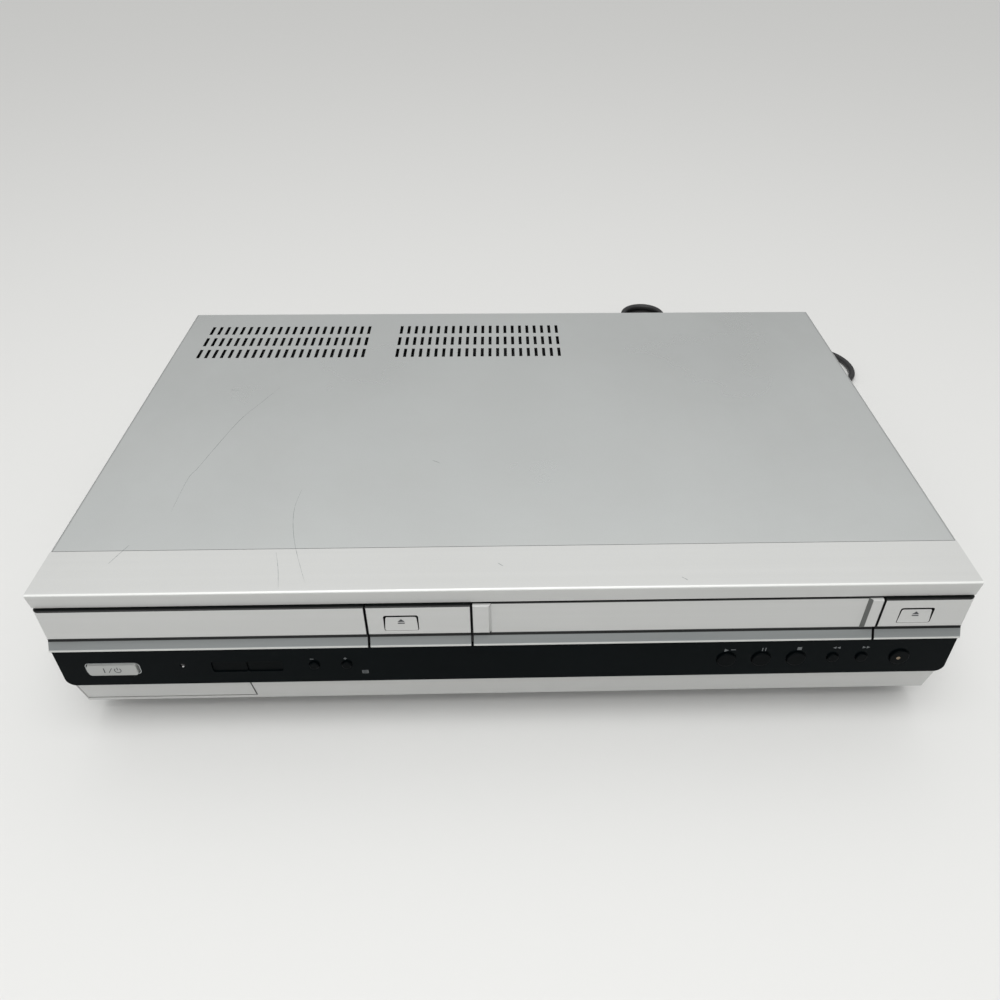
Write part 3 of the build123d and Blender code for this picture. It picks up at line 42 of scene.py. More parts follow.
# Sizes are in mm. The frame's origin is the bottom centre of the player, and its door faces lie at FACE_Y.
FACE_Y = -139.65
COVER_TOP = 98.0
COVER_SIDE = 215.0
COVER_REAR = 272.5
PANEL_FACE = 268.0
PANEL_BACK = PANEL_FACE + 1.2
BOARD_TOP = 18.0 + 1.6
DISPLAY_FACE = 13.0
POWER_KEY = (-189.0, 48.9)
RECORD_KEY = (188.3, 48.6)
STANDBY_LAMP = (-156.1, 49.3)
EJECT_KEYS = {"disc_eject": -50.4, "cassette_eject": 188.7}


def at(x, y, z):
    """A place in metres from millimetres measured from the door faces and the floor."""
    return Vector((x * MM, (y + FACE_Y) * MM, z * MM))


# ---- materials -----------------------------------------------------------------------------------
def link_value(tree, value, socket):
    """Feed a socket from another socket, or set it to a plain value."""
    if isinstance(value, bpy.types.NodeSocket):
        tree.links.new(value, socket)
    else:
        socket.default_value = value


def add(tree, kind, inputs=None, **settings):
    """A new node with its settings and its inputs, which are values or other nodes' sockets."""
    node = tree.nodes.new(kind)
    for name, value in settings.items():
        setattr(node, name, value)
    for key, value in (inputs or {}).items():
        link_value(tree, value, node.inputs[key])
    return node


def maths(tree, operation, a, b=0.0, c=0.0, clamp=False):
    """The result of a maths node."""
    node = add(tree, "ShaderNodeMath", {0: a, 1: b, 2: c}, operation=operation, use_clamp=clamp)
    return node.outputs[0]


def mix(tree, factor, a, b):
    """A colour between a and b; the mix node's colour sockets have the numbers 6 and 7."""
    node = add(tree, "ShaderNodeMix", data_type="RGBA")
    link_value(tree, factor, node.inputs[0])
    link_value(tree, a, node.inputs[6])
    link_value(tree, b, node.inputs[7])
    return node.outputs[2]


def spread(tree, value, low, high, to_low, to_high):
    """Map a value's useful range onto another one, clamped."""
    node = add(tree, "ShaderNodeMapRange", {0: value, 1: low, 2: high, 3: to_low, 4: to_high})
    return node.outputs[0]


def group(name, inputs, outputs, build):
    """A shader node group with named sockets; build fills it in and returns its outputs by name."""
    tree = bpy.data.node_groups.new(name, "ShaderNodeTree")
    for label, kind in inputs:
        tree.interface.new_socket(label, in_out="INPUT", socket_type="NodeSocket" + kind)
    for label, kind in outputs:
        tree.interface.new_socket(label, in_out="OUTPUT", socket_type="NodeSocket" + kind)
    entry = tree.nodes.new("NodeGroupInput")
    leave = tree.nodes.new("NodeGroupOutput")
    for label, socket in build(tree, entry.outputs).items():
        tree.links.new(socket, leave.inputs[label])
    return tree


def build_grain(tree, given):
    """Fine mottle of a sprayed or moulded skin, with broad handling marks over it."""
    fine = add(tree, "ShaderNodeTexNoise", {"Vector": given["Place"], "Scale": given["Fine"], "Detail": 2.0})
    broad = add(tree, "ShaderNodeTexNoise", {"Vector": given["Place"], "Scale": 9.0, "Detail": 5.0,
                                             "Roughness": 0.6})
    fleck = maths(tree, "SUBTRACT", fine.outputs["Fac"], 0.5)
    marks = spread(tree, broad.outputs["Fac"], 0.35, 0.7, -1.0, 1.0)
    shade = maths(tree, "MULTIPLY_ADD", fleck, given["Fleck"], 1.0)
    shade = maths(tree, "MULTIPLY_ADD", marks, given["Marks"], shade)
    bright = add(tree, "ShaderNodeVectorMath", {0: given["Colour"]}, operation="SCALE")
    tree.links.new(shade, bright.inputs["Scale"])
    rough = maths(tree, "MULTIPLY_ADD", marks, given["Sheen"], given["Roughness"])
    return {"Colour": bright.outputs[0], "Roughness": rough, "Height": fine.outputs["Fac"]}


GRAIN = group(
    "grain", [("Place", "Vector"), ("Colour", "Color"), ("Roughness", "Float"), ("Fine", "Float"),
              ("Fleck", "Float"), ("Marks", "Float"), ("Sheen", "Float")],
    [("Colour", "Color"), ("Roughness", "Float"), ("Height", "Float")], build_grain)


def build_dust(tree, given):
    """Pale dust that settles on what faces up, thinner where it has been wiped."""
    facing = add(tree, "ShaderNodeSeparateXYZ", {0: add(tree, "ShaderNodeNewGeometry").outputs["Normal"]})
    wiped = add(tree, "ShaderNodeTexNoise", {"Vector": given["Place"], "Scale": 35.0, "Detail": 4.0})
    layer = spread(tree, facing.outputs["Z"], 0.5, 1.0, 0.0, 1.0)
    layer = maths(tree, "MULTIPLY", layer, spread(tree, wiped.outputs["Fac"], 0.35, 0.7, 0.2, 1.0))
    layer = maths(tree, "MULTIPLY", layer, given["Amount"], clamp=True)
    return {"Colour": mix(tree, layer, given["Colour"], (0.42, 0.41, 0.39, 1.0)), "Layer": layer}


DUST = group("dust", [("Place", "Vector"), ("Colour", "Color"), ("Amount", "Float")],
             [("Colour", "Color"), ("Layer", "Float")], build_dust)


def build_hairlines(tree, given):
    """Thin parallel lines of a rolled or brushed sheet, stretched by the scale that is given."""
    turned = add(tree, "ShaderNodeMapping", {"Vector": given["Place"], "Scale": given["Stretch"]})
    lines = add(tree, "ShaderNodeTexNoise", {"Vector": turned.outputs[0], "Scale": 1.0, "Detail": 3.0})
    return {"Mask": spread(tree, lines.outputs["Fac"], 0.3, 0.7, 0.0, 1.0)}


HAIRLINES = group("hairlines", [("Place", "Vector"), ("Stretch", "Vector")], [("Mask", "Float")],
                  build_hairlines)


def use(tree, shared, **inputs):
    """Put a shared node group in a tree, and give its outputs."""
    node = tree.nodes.new("ShaderNodeGroup")
    node.node_tree = shared
    for label, value in inputs.items():
        link_value(tree, value, node.inputs[label])
    return node.outputs


def start(name):
    """A new material: its tree, its shader, and the object coordinates that patterns use."""
    material = bpy.data.materials.new(name)
    material.use_nodes = True
    tree = material.node_tree
    shader = tree.nodes["Principled BSDF"]
    place = add(tree, "ShaderNodeTexCoord").outputs["Object"]
    return material, tree, shader, place


PALE_LINE = (0.9, 0.9, 0.9, 1.0)
FELT_LINES = 0.1


def finish_of(name, colour, rough, metal=0.0, fine=900.0, fleck=0.05, marks=0.03, sheen=0.04, bump=0.02,
              coat=0.0, coat_rough=0.1, dust=0.0, hairlines=None, line_depth=0.16, specular=0.5):
    """A sprayed, moulded or plated finish. Hairlines deeper than FELT_LINES are relief as well as shade."""
    material, tree, shader, place = start(name)
    skin = use(tree, GRAIN, Place=place, Colour=(*colour, 1.0), Roughness=rough, Fine=fine, Fleck=fleck,
               Marks=marks, Sheen=sheen)
    shade = skin["Colour"]
    height = skin["Height"]
    if hairlines:
        lines = use(tree, HAIRLINES, Place=place, Stretch=hairlines)["Mask"]
        shade = mix(tree, maths(tree, "MULTIPLY", lines, line_depth), shade, PALE_LINE)
        if line_depth > FELT_LINES:
            height = lines
    if dust:
        shade = use(tree, DUST, Place=place, Colour=shade, Amount=dust)["Colour"]
    tree.links.new(shade, shader.inputs["Base Color"])
    tree.links.new(skin["Roughness"], shader.inputs["Roughness"])
    shader.inputs["Metallic"].default_value = metal
    shader.inputs["Specular IOR Level"].default_value = specular
    shader.inputs["Coat Weight"].default_value = coat
    shader.inputs["Coat Roughness"].default_value = coat_rough
    if bump:
        relief = add(tree, "ShaderNodeBump", {"Strength": bump, "Distance": 0.0002, "Height": height})
        tree.links.new(relief.outputs[0], shader.inputs["Normal"])
    return material


def paint_over(material, mask, colour):
    """Lay another colour over a finish where the mask is 1."""
    tree = material.node_tree
    base = tree.nodes["Principled BSDF"].inputs["Base Color"]
    tree.links.new(mix(tree, mask, base.links[0].from_socket, (*colour, 1.0)), base)


def place_parts(tree):
    """The object coordinates as three sockets, X, Y and Z."""
    coordinates = add(tree, "ShaderNodeTexCoord").outputs["Object"]
    return add(tree, "ShaderNodeSeparateXYZ", {0: coordinates}).outputs


def by_place(material, axis, split, colour, above=True, soft=0.00005):
    """Give a finish another colour on one side of a plane, as where parts stand on a board."""
    tree = material.node_tree
    low, high = (0.0, 1.0) if above else (1.0, 0.0)
    mask = spread(tree, place_parts(tree)[axis], split - soft, split + soft, low, high)
    paint_over(material, mask, colour)
    return material


def facing_mask(tree, kind):
    """1 where a surface faces up, down, left, across (left or right), or any way sideways."""
    normal = add(tree, "ShaderNodeSeparateXYZ", {0: add(tree, "ShaderNodeNewGeometry").outputs["Normal"]})
    if kind == "across":
        turned = maths(tree, "ABSOLUTE", normal.outputs["X"])
    elif kind == "left":
        turned = maths(tree, "MULTIPLY", normal.outputs["X"], -1.0)
    elif kind == "sideways":
        turned = maths(tree, "SUBTRACT", 1.0, maths(tree, "ABSOLUTE", normal.outputs["Z"]))
    else:
        turned = maths(tree, "MULTIPLY", normal.outputs["Z"], 1.0 if kind == "up" else -1.0)
    return spread(tree, turned, 0.45, 0.55, 0.0, 1.0)


def tint(material, colour, *limits, facing=None, soft=0.00006):
    """Another colour where every limit (axis, low, high) holds, in mm from the door faces and the floor."""
    tree = material.node_tree
    place = place_parts(tree)
    mask = facing_mask(tree, facing) if facing else 1.0
    for axis, low, high in limits:
        shift = FACE_Y if axis == "Y" else 0.0
        for limit, outside, inside in ((low, 0.0, 1.0), (high, 1.0, 0.0)):
            if limit is not None:
                edge = (limit + shift) * MM
                step = spread(tree, place[axis], edge - soft, edge + soft, outside, inside)
                mask = maths(tree, "MULTIPLY", step, mask)
    paint_over(material, mask, colour)


def copy_of(material, name):
    """A finish of its own name that starts as another one."""
    twin = material.copy()
    twin.name = name
    return twin


# Where the tints below begin and end
VENT_FIELDS = ((-199.0, -90.0), (-72.0, 37.0))
VENT_Y = (210.0, 255.0)
DOOR_FOOT = 69.6
DOOR_SPLITS = (-66.4, -18.1, 172.0)
SPLIT_HALF = 0.65
DOOR_ENDS = ("X", -211.4, 211.4)
# Near-black colour of the painted shade in gaps, slots, recesses and undersides.
PAINTED_GAP_SHADE = (0.008, 0.009, 0.009)

cover_paint = finish_of("cover_paint", (0.60, 0.62, 0.615), 0.30, metal=0.75, fine=2600.0, fleck=0.10,
                        marks=0.025, sheen=0.03, bump=0.05, dust=0.10)
silver_plastic = finish_of("silver_plastic", (0.545, 0.55, 0.54), 0.38, metal=0.15, fine=3200.0, fleck=0.10,
                           marks=0.015, sheen=0.03, bump=0.04, dust=0.04, hairlines=(2.0, 260.0, 260.0),
                           line_depth=0.045)
door_paint = copy_of(silver_plastic, "door_paint")
flap_paint = copy_of(silver_plastic, "flap_paint")
key_paint = copy_of(silver_plastic, "eject_key_paint")
input_paint = copy_of(silver_plastic, "input_flap_paint")
grey_trim = finish_of("grey_trim", (0.225, 0.24, 0.24), 0.36, metal=0.15, fine=3200.0, fleck=0.1, marks=0.02,
                      bump=0.04, hairlines=(2.0, 260.0, 260.0), line_depth=0.03)
black_window = finish_of("black_window", (0.0026, 0.0042, 0.0048), 0.12, fine=60.0, fleck=0.2, marks=0.1,
                         sheen=0.03, bump=0.0, specular=0.03)
dark_key = finish_of("dark_key", (0.0014, 0.0024, 0.0028), 0.34, fine=2600.0, fleck=0.1, bump=0.03,
                     specular=0.035)
silver_key = finish_of("silver_key", (0.40, 0.41, 0.40), 0.34, metal=0.3, fine=3200.0, fleck=0.1, bump=0.04)
moulded_black = finish_of("moulded_black", (0.016, 0.016, 0.017), 0.48, fine=2200.0, fleck=0.25, bump=0.12,
                          dust=0.05)
tie_plastic = copy_of(moulded_black, "tie_plastic")
moulded_grey = finish_of("moulded_grey", (0.10, 0.10, 0.105), 0.5, fine=2200.0, fleck=0.2, bump=0.12,
                         dust=0.05)
zinc_sheet = finish_of("zinc_sheet", (0.50, 0.51, 0.52), 0.36, metal=0.9, fine=160.0, fleck=0.2, marks=0.08,
                       hairlines=(30.0, 1400.0, 1400.0))
polished_steel = finish_of("polished_steel", (0.62, 0.62, 0.63), 0.16, metal=1.0, fine=500.0, fleck=0.1,
                           marks=0.04)
drum_alloy = finish_of("drum_alloy", (0.70, 0.71, 0.72), 0.2, metal=1.0, fine=400.0, fleck=0.06,
                       hairlines=(40.0, 40.0, 3000.0))
foot_plastic = finish_of("foot_plastic", (0.020, 0.020, 0.021), 0.55, fine=1800.0, fleck=0.3, bump=0.15)
ivory_acetal = finish_of("ivory_acetal", (0.62, 0.60, 0.53), 0.35, fine=900.0, fleck=0.04, bump=0.03)
board_green = finish_of("board_green", (0.020, 0.115, 0.045), 0.32, fine=240.0, fleck=0.5, marks=0.2,
                        coat=0.4)
parts_black = by_place(copy_of(board_green, "board_with_parts"), "Z", (BOARD_TOP + 0.02) * MM,
                       (0.03, 0.03, 0.032))
display_parts = by_place(copy_of(board_green, "display_board_with_switches"), "Y",
                         (DISPLAY_FACE + FACE_Y - 0.02) * MM, (0.02, 0.02, 0.022), above=False)
nickel = by_place(
    finish_of("nickel", (0.60, 0.59, 0.55), 0.2, metal=1.0, fine=500.0, fleck=0.08, marks=0.05),
    "Y", (PANEL_FACE + FACE_Y) * MM, (0.02, 0.02, 0.022), above=False)
cord_rubber = finish_of("cord_rubber", (0.014, 0.014, 0.015), 0.5, fine=1400.0, fleck=0.2, bump=0.1)
cord_plug = copy_of(cord_rubber, "plug_rubber_and_blades")
dim_print = finish_of("dim_print", (0.115, 0.125, 0.13), 0.5, fine=4000.0, fleck=0.3, marks=0.1, bump=0.0)
bright_ring = finish_of("bright_ring", (0.45, 0.47, 0.47), 0.2, metal=0.6, fine=3000.0, fleck=0.1, bump=0.0)
lamp_white = finish_of("lamp_white", (0.55, 0.56, 0.56), 0.25, fine=3000.0, fleck=0.1, bump=0.0)
# Near-black finish of a plate that paints the shade in a gap.
gap_shade_finish = finish_of("gap_shade_finish", (0.010, 0.011, 0.011), 0.6, fine=3000.0, fleck=0.2, bump=0.0)
dark_print = finish_of("dark_print", (0.05, 0.055, 0.06), 0.5, fine=4000.0, fleck=0.1, bump=0.0)
amber_mark = finish_of("amber_mark", (0.22, 0.16, 0.10), 0.35, fine=2000.0, fleck=0.1, bump=0.0)
scuff = finish_of("scuff", (0.23, 0.25, 0.25), 0.35, fine=1200.0, fleck=0.5, marks=0.1, bump=0.1)
red_plastic = finish_of("red_plastic", (0.45, 0.02, 0.02), 0.35, fine=1500.0, fleck=0.08)
white_plastic = finish_of("white_plastic", (0.70, 0.70, 0.68), 0.35, fine=1500.0, fleck=0.05)
yellow_plastic = finish_of("yellow_plastic", (0.70, 0.52, 0.03), 0.35, fine=1500.0, fleck=0.05)

# Painted shade darkens slots, gaps and undersides, and painted highlights brighten edges that catch the
# light.
# Painted shade on the side walls of the cover's vent slots.
for left, right in VENT_FIELDS:
    tint(cover_paint, PAINTED_GAP_SHADE, ("X", left, right), ("Y", *VENT_Y), ("Z", COVER_TOP - 3.0, None),
         facing="sideways")
# Painted shade on the underside of the bezel's band, over the groove above the doors.
tint(silver_plastic, PAINTED_GAP_SHADE, ("Z", 88.0, 89.5), facing="down")
# Painted shade inside the bezel, behind and round the doors.
tint(silver_plastic, PAINTED_GAP_SHADE, ("X", -213.9, 213.9), ("Y", 3.0, 13.0), ("Z", 61.4, 88.6))
# Painted shade on the bezel behind the line-input flap.
tint(silver_plastic, PAINTED_GAP_SHADE, ("X", -213.7, -128.9), ("Z", 16.7, 33.7), ("Y", -2.0, 20.0))
# Painted highlight along the bezel's top front edge.
tint(silver_plastic, (0.80, 0.81, 0.79), ("Y", -1.0, 0.9), ("Z", 97.2, None))
# Painted shade on the input flap's right-hand end face and on its top face.
tint(input_paint, PAINTED_GAP_SHADE, ("X", -300.0, -128.0), facing="across")
tint(input_paint, PAINTED_GAP_SHADE, facing="up")
# Painted shade on the ends of the doors and eject keys, and on their faces deeper than 0.8 mm behind the
# front.
for paint in (door_paint, key_paint):
    tint(paint, PAINTED_GAP_SHADE, DOOR_ENDS, ("Y", 0.8, None))
    tint(paint, PAINTED_GAP_SHADE, DOOR_ENDS, facing="across")
# Painted shade on the doors' undersides and below their foot.
tint(door_paint, PAINTED_GAP_SHADE, facing="down")
tint(door_paint, PAINTED_GAP_SHADE, ("Z", None, DOOR_FOOT))
# Painted shade on the eject keys' tops, in the gap over them.
tint(key_paint, PAINTED_GAP_SHADE, facing="up")
# Painted shade on the cassette flap deep inside and along its foot, and a painted contact shadow along its
# top.
tint(flap_paint, PAINTED_GAP_SHADE, ("Y", 2.0, None))
tint(flap_paint, PAINTED_GAP_SHADE, ("Z", None, 68.2))
tint(flap_paint, PAINTED_GAP_SHADE, ("Y", 1.5, None), ("Z", 87.0, None))
tint(flap_paint, PAINTED_GAP_SHADE, ("Y", None, 1.6), ("Z", None, DOOR_FOOT))
# Painted shade on the flap's side faces at its two ends.
for low, high in ((-20.0, -17.0), (171.0, 174.0)):
    tint(flap_paint, PAINTED_GAP_SHADE, ("X", low, high), facing="across")
# Painted shade, dark grey, on the right-hand wall of the flap's sunk panel.
tint(flap_paint, (0.11, 0.115, 0.11), ("X", 160.0, 168.0), ("Y", 0.1, 1.75), facing="left")
# Painted highlight along the trim's lower edge.
tint(grey_trim, (0.62, 0.63, 0.61), ("Z", None, 63.1))
# Painted shade on the trim's ends, and a painted shadow along its top under the doors.
tint(grey_trim, PAINTED_GAP_SHADE, DOOR_ENDS, facing="across")
tint(grey_trim, PAINTED_GAP_SHADE, ("Z", 66.7, None))
# Painted shade on the doors' top faces.
tint(door_paint, PAINTED_GAP_SHADE, ("Z", 87.0, None), facing="up")
# Painted shade in a band across each split between the doors.
for split in DOOR_SPLITS:
    for paint in (door_paint, flap_paint, grey_trim):
        tint(paint, PAINTED_GAP_SHADE, ("X", split - SPLIT_HALF, split + SPLIT_HALF))
tint(cord_plug, (0.60, 0.47, 0.24), ("Y", None, 295.0))

NODE_FINISH = {
    cover_paint: ["top_cover"],
    polished_steel: ["case_screws", "pickup_rails", "capstan"],
    zinc_sheet: ["chassis", "rear_panel", "clamp_bridge", "deck_plate", "carriage_bracket",
                 "cassette_holder"],
    foot_plastic: ["feet"],
    silver_plastic: ["front_bezel"],
    input_paint: ["input_flap"],
    door_paint: ["centre_block", "right_block", "tray_front"],
    flap_paint: ["cassette_flap"],
    key_paint: ["disc_eject_button", "cassette_eject_button"],
    silver_key: ["power_button"],
    grey_trim: ["centre_trim", "right_trim", "tray_trim", "flap_trim"],
    black_window: ["front_window"],
    dark_key: ["channel_down_button", "channel_up_button", "play_button", "pause_button", "stop_button",
               "rewind_button", "fast_forward_button", "record_button", "left_select_button",
               "right_select_button"],
    display_parts: ["display_board"],
    parts_black: ["main_board", "power_board"],
    nickel: ["rear_sockets"],
    moulded_black: ["disc_tray", "disc_clamp", "turntable", "pickup_sled", "supply_reel", "takeup_reel",
                    "pinch_arm", "line_sockets"],
    moulded_grey: ["loader_chassis", "traverse", "carriage_slider"],
    ivory_acetal: ["tray_gear", "supply_loading_ring", "takeup_loading_ring"],
    drum_alloy: ["lower_drum", "upper_drum"],
    cord_rubber: ["cord_free", "cord_hank", "cord_gland"],
    cord_plug: ["mains_plug"],
    tie_plastic: ["cord_tie"],
}


def dress_nodes():
    """Give every CAD node its finish."""
    for material, names in NODE_FINISH.items():
        for name in names:
            for slot in nodes[name].material_slots:
                slot.material = material


# ---- mesh helpers --------------------------------------------------------------------------------
def in_scene(name, data):
    """A new object in the scene."""
    thing = bpy.data.objects.new(name, data)
    bpy.context.scene.collection.objects.link(thing)
    return thing


def piece(name, mesh, material, body="player"):
    """Put a finished mesh in the scene, on its body, with its finish."""
    thing = in_scene(name, mesh)
    mesh.materials.clear()
    mesh.materials.append(material)
    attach(thing, body)
    return thing


def plates(name, outlines, to_frame, thick):
    """Thin plates from flat outlines; to_frame gives the place of a point (u, v, height)."""
    mesh = bpy.data.meshes.new(name)
    work = bmesh.new()
    for outline in outlines:
        low = [work.verts.new(to_frame(u, v, 0.0)) for u, v in outline]
        high = [work.verts.new(to_frame(u, v, thick)) for u, v in outline]
        count = len(outline)
        work.faces.new(high)
        work.faces.new(low[::-1])
        for i in range(count):
            j = (i + 1) % count
            work.faces.new((low[i], low[j], high[j], high[i]))
    bmesh.ops.recalc_face_normals(work, faces=work.faces)
    work.to_mesh(mesh)
    work.free()
    return mesh


def arc_band(cx, cy, r0, r1, start_deg, end_deg, steps=20):
    """Outline of a flat band along an arc."""
    angles = [math.radians(start_deg + (end_deg - start_deg) * i / steps) for i in range(steps + 1)]
    outer = [(cx + r1 * math.cos(a), cy + r1 * math.sin(a)) for a in angles]
    inner = [(cx + r0 * math.cos(a), cy + r0 * math.sin(a)) for a in reversed(angles)]
    return outer + inner


def triangle(x, z, half, point):
    """A small triangle; point is +1 to the right and -1 to the left."""
    return [(x - point * half, z - half), (x + point * half, z), (x - point * half, z + half)]


def bar(x0, x1, z0, z1):
    """Outline of a rectangle."""
    return [(x0, z0), (x1, z0), (x1, z1), (x0, z1)]


# ---- geometry node trees -------------------------------------------------------------------------
def new_geometry_tree(name, sizes):
    """A geometry tree with the named inputs; returns it with its input and output nodes."""
    tree = bpy.data.node_groups.new(name, "GeometryNodeTree")
    tree.interface.new_socket("Geometry", in_out="INPUT", socket_type="NodeSocketGeometry")
    for label, (kind, value) in sizes.items():
        socket = tree.interface.new_socket(label, in_out="INPUT", socket_type="NodeSocket" + kind)
        if value is not None:
            socket.default_value = value
    tree.interface.new_socket("Geometry", in_out="OUTPUT", socket_type="NodeSocketGeometry")
    return tree, tree.nodes.new("NodeGroupInput").outputs, tree.nodes.new("NodeGroupOutput").inputs


def baked(name, points, tree, values, material):
    """Run a geometry tree on a few loose points and keep the result as a plain mesh."""
    mesh = bpy.data.meshes.new(name + "_points")
    mesh.from_pydata([tuple(p) for p in points], [], [])
    seed = in_scene(name + "_points", mesh)
    modifier = seed.modifiers.new("repeat", "NODES")
    modifier.node_group = tree
    for socket in tree.interface.items_tree:
        if socket.in_out == "INPUT" and socket.name in values:
            modifier[socket.identifier] = values[socket.name]
        if socket.in_out == "INPUT" and socket.name == "Finish":
            modifier[socket.identifier] = material
    ready = seed.evaluated_get(bpy.context.evaluated_depsgraph_get())
    result = bpy.data.meshes.new_from_object(ready)
    bpy.data.objects.remove(seed)
    result.name = name
    return result


def cross_tree():
    """A cross recess, two crossed bars, on every point; Turn lays them in the screw's plane."""
    tree, given, leave = new_geometry_tree("screw_cross", {
        "Length": ("Float", 0.0026), "Width": ("Float", 0.0005), "Depth": ("Float", 0.0001),
        "Turn": ("Vector", None), "Finish": ("Material", None)})
    sizes = []
    for first, second in (("Length", "Width"), ("Width", "Length")):
        size = add(tree, "ShaderNodeCombineXYZ", {0: given[first], 1: given[second], 2: given["Depth"]})
        cube = add(tree, "GeometryNodeMeshCube", {"Size": size.outputs[0]})
        sizes.append(cube.outputs["Mesh"])
    both = add(tree, "GeometryNodeJoinGeometry")
    for mesh in sizes:
        tree.links.new(mesh, both.inputs[0])
    placed = add(tree, "GeometryNodeInstanceOnPoints", {
        "Points": given["Geometry"], "Instance": both.outputs[0], "Rotation": given["Turn"]})
    real = add(tree, "GeometryNodeRealizeInstances", {0: placed.outputs[0]})
    painted = add(tree, "GeometryNodeSetMaterial", {"Geometry": real.outputs[0],
                                                    "Material": given["Finish"]})
    tree.links.new(painted.outputs[0], leave[0])
    return tree


def ring_tree():
    """Rings round the Y axis in a row behind every point, shrinking from the first radius to the last."""
    tree, given, leave = new_geometry_tree("ring_row", {
        "Count": ("Int", 8), "Pitch": ("Float", 0.001), "First Radius": ("Float", 0.0047),
        "Last Radius": ("Float", 0.0047), "Wire": ("Float", 0.0003), "Sides": ("Int", 40),
        "Finish": ("Material", None)})
    step = add(tree, "ShaderNodeCombineXYZ", {0: 0.0, 1: given["Pitch"], 2: 0.0})
    row = add(tree, "GeometryNodeMeshLine", {"Count": given["Count"], "Offset": step.outputs[0]})
    index = add(tree, "GeometryNodeInputIndex").outputs[0]
    last = add(tree, "ShaderNodeMath", {0: given["Count"], 1: 1.0}, operation="SUBTRACT")
    share = add(tree, "ShaderNodeMath", {0: index, 1: last.outputs[0]}, operation="DIVIDE")
    radius = add(tree, "ShaderNodeMapRange", {0: share.outputs[0], 3: given["First Radius"],
                                              4: given["Last Radius"]})
    hoop = add(tree, "GeometryNodeCurvePrimitiveCircle", {"Resolution": given["Sides"], "Radius": 1.0})
    rings = add(tree, "GeometryNodeInstanceOnPoints", {
        "Points": row.outputs[0], "Instance": hoop.outputs[0], "Rotation": (math.pi / 2, 0.0, 0.0),
        "Scale": radius.outputs[0]})
    real = add(tree, "GeometryNodeRealizeInstances", {0: rings.outputs[0]})
    section = add(tree, "GeometryNodeCurvePrimitiveCircle", {"Resolution": 8, "Radius": given["Wire"]})
    tube = add(tree, "GeometryNodeCurveToMesh", {"Curve": real.outputs[0],
                                                 "Profile Curve": section.outputs[0]})
    placed = add(tree, "GeometryNodeInstanceOnPoints", {"Points": given["Geometry"],
                                                        "Instance": tube.outputs[0]})
    solid = add(tree, "GeometryNodeRealizeInstances", {0: placed.outputs[0]})
    painted = add(tree, "GeometryNodeSetMaterial", {"Geometry": solid.outputs[0],
                                                    "Material": given["Finish"]})
    tree.links.new(painted.outputs[0], leave[0])
    return tree


# ---- the mains cord ------------------------------------------------------------------------------
CORD_D = 5.0
EXIT_X = 186.0
EXIT_Z = 26.0
GLAND_TIP = PANEL_BACK + 24.0
FLOOR_Z = CORD_D / 2 + 0.1
FOLD_R = 15.0
STEP = 5.6
HANK_X = 131.0
HANK_Y0 = 358.0
HANK_Y1 = HANK_Y0 + 78.0
HANK_FLOOR = CORD_D / 2 + 1.2
HANK_TAIL = 26.0
HANK_LAYERS = 3

free_points = [
    (EXIT_X, GLAND_TIP, EXIT_Z),
    (EXIT_X, GLAND_TIP + 19.0, EXIT_Z),
    (EXIT_X + 2.0, GLAND_TIP + 40.0, EXIT_Z - 9.5),
    (EXIT_X + 6.0, GLAND_TIP + 60.0, FLOOR_Z + 3.5),
    (200.5, 375.0, FLOOR_Z),
    (222.0, 391.5, FLOOR_Z),
    (250.5, 397.0, FLOOR_Z),
    (279.5, 392.5, FLOOR_Z),
    (298.0, 374.0, FLOOR_Z),
    (299.0, 346.5, FLOOR_Z),
    (279.5, 327.0, FLOOR_Z),
    (253.8, 318.6, FLOOR_Z),
    (227.1, 314.4, FLOOR_Z),
    (201.1, 313.0, FLOOR_Z),
    (176.1, 314.3, FLOOR_Z),
    (HANK_X + FOLD_R + 9.8, 322.9, FLOOR_Z + 0.5),
    (HANK_X + FOLD_R, HANK_Y0 - 18.0, HANK_FLOOR)]


def hank_points():
    """The hank's turns: up the inner column in layers, over the top, and down the outer column."""
    points = []
    inner = FOLD_R
    outer = FOLD_R + STEP

    def run(x, up, level, next_level):
        """Three points along a straight run, clear of the turns at its ends."""
        ends = (HANK_Y0, HANK_Y1) if up else (HANK_Y1, HANK_Y0)
        for share in (0.16, 0.5, 0.84):
            rise = 0.5 - 0.5 * math.cos(math.pi * share)
            points.append((HANK_X + x, ends[0] + (ends[1] - ends[0]) * share,
                           HANK_FLOOR + (level + (next_level - level) * rise) * STEP))

    def turn(x0, x1, far, level):
        """Half a circle from x0 to x1, on points a little outside it."""
        centre = (x0 + x1) / 2
        radius = abs(x1 - x0) / 2
        reach = 1.0 if far else -1.0
        side = 1.0 if x0 > x1 else -1.0
        parts = 4
        wide = radius / math.cos(math.pi / (2 * parts))
        for i in range(parts):
            angle = math.pi * (i + 0.5) / parts
            points.append((HANK_X + centre + side * wide * math.cos(angle),
                           (HANK_Y1 if far else HANK_Y0) + reach * wide * math.sin(angle),
                           HANK_FLOOR + level * STEP))

    top = HANK_LAYERS - 1
    for level in range(HANK_LAYERS):
        run(inner, True, level, level)
        if level < top:
            turn(inner, -inner, True, level)
            run(-inner, False, level, level + 1)
            turn(-inner, inner, False, level + 1)
    turn(inner, -outer, True, top)
    for level in range(top, -1, -1):
        run(-outer, False, level, level)
        if level > 0:
            turn(-outer, outer, False, level)
            run(outer, True, level, level - 1)
            turn(outer, -outer, True, level - 1)
    points.append((HANK_X - outer, HANK_Y0 - HANK_TAIL * 0.5, HANK_FLOOR))
    points.append((HANK_X - outer, HANK_Y0 - HANK_TAIL, HANK_FLOOR))
    return points


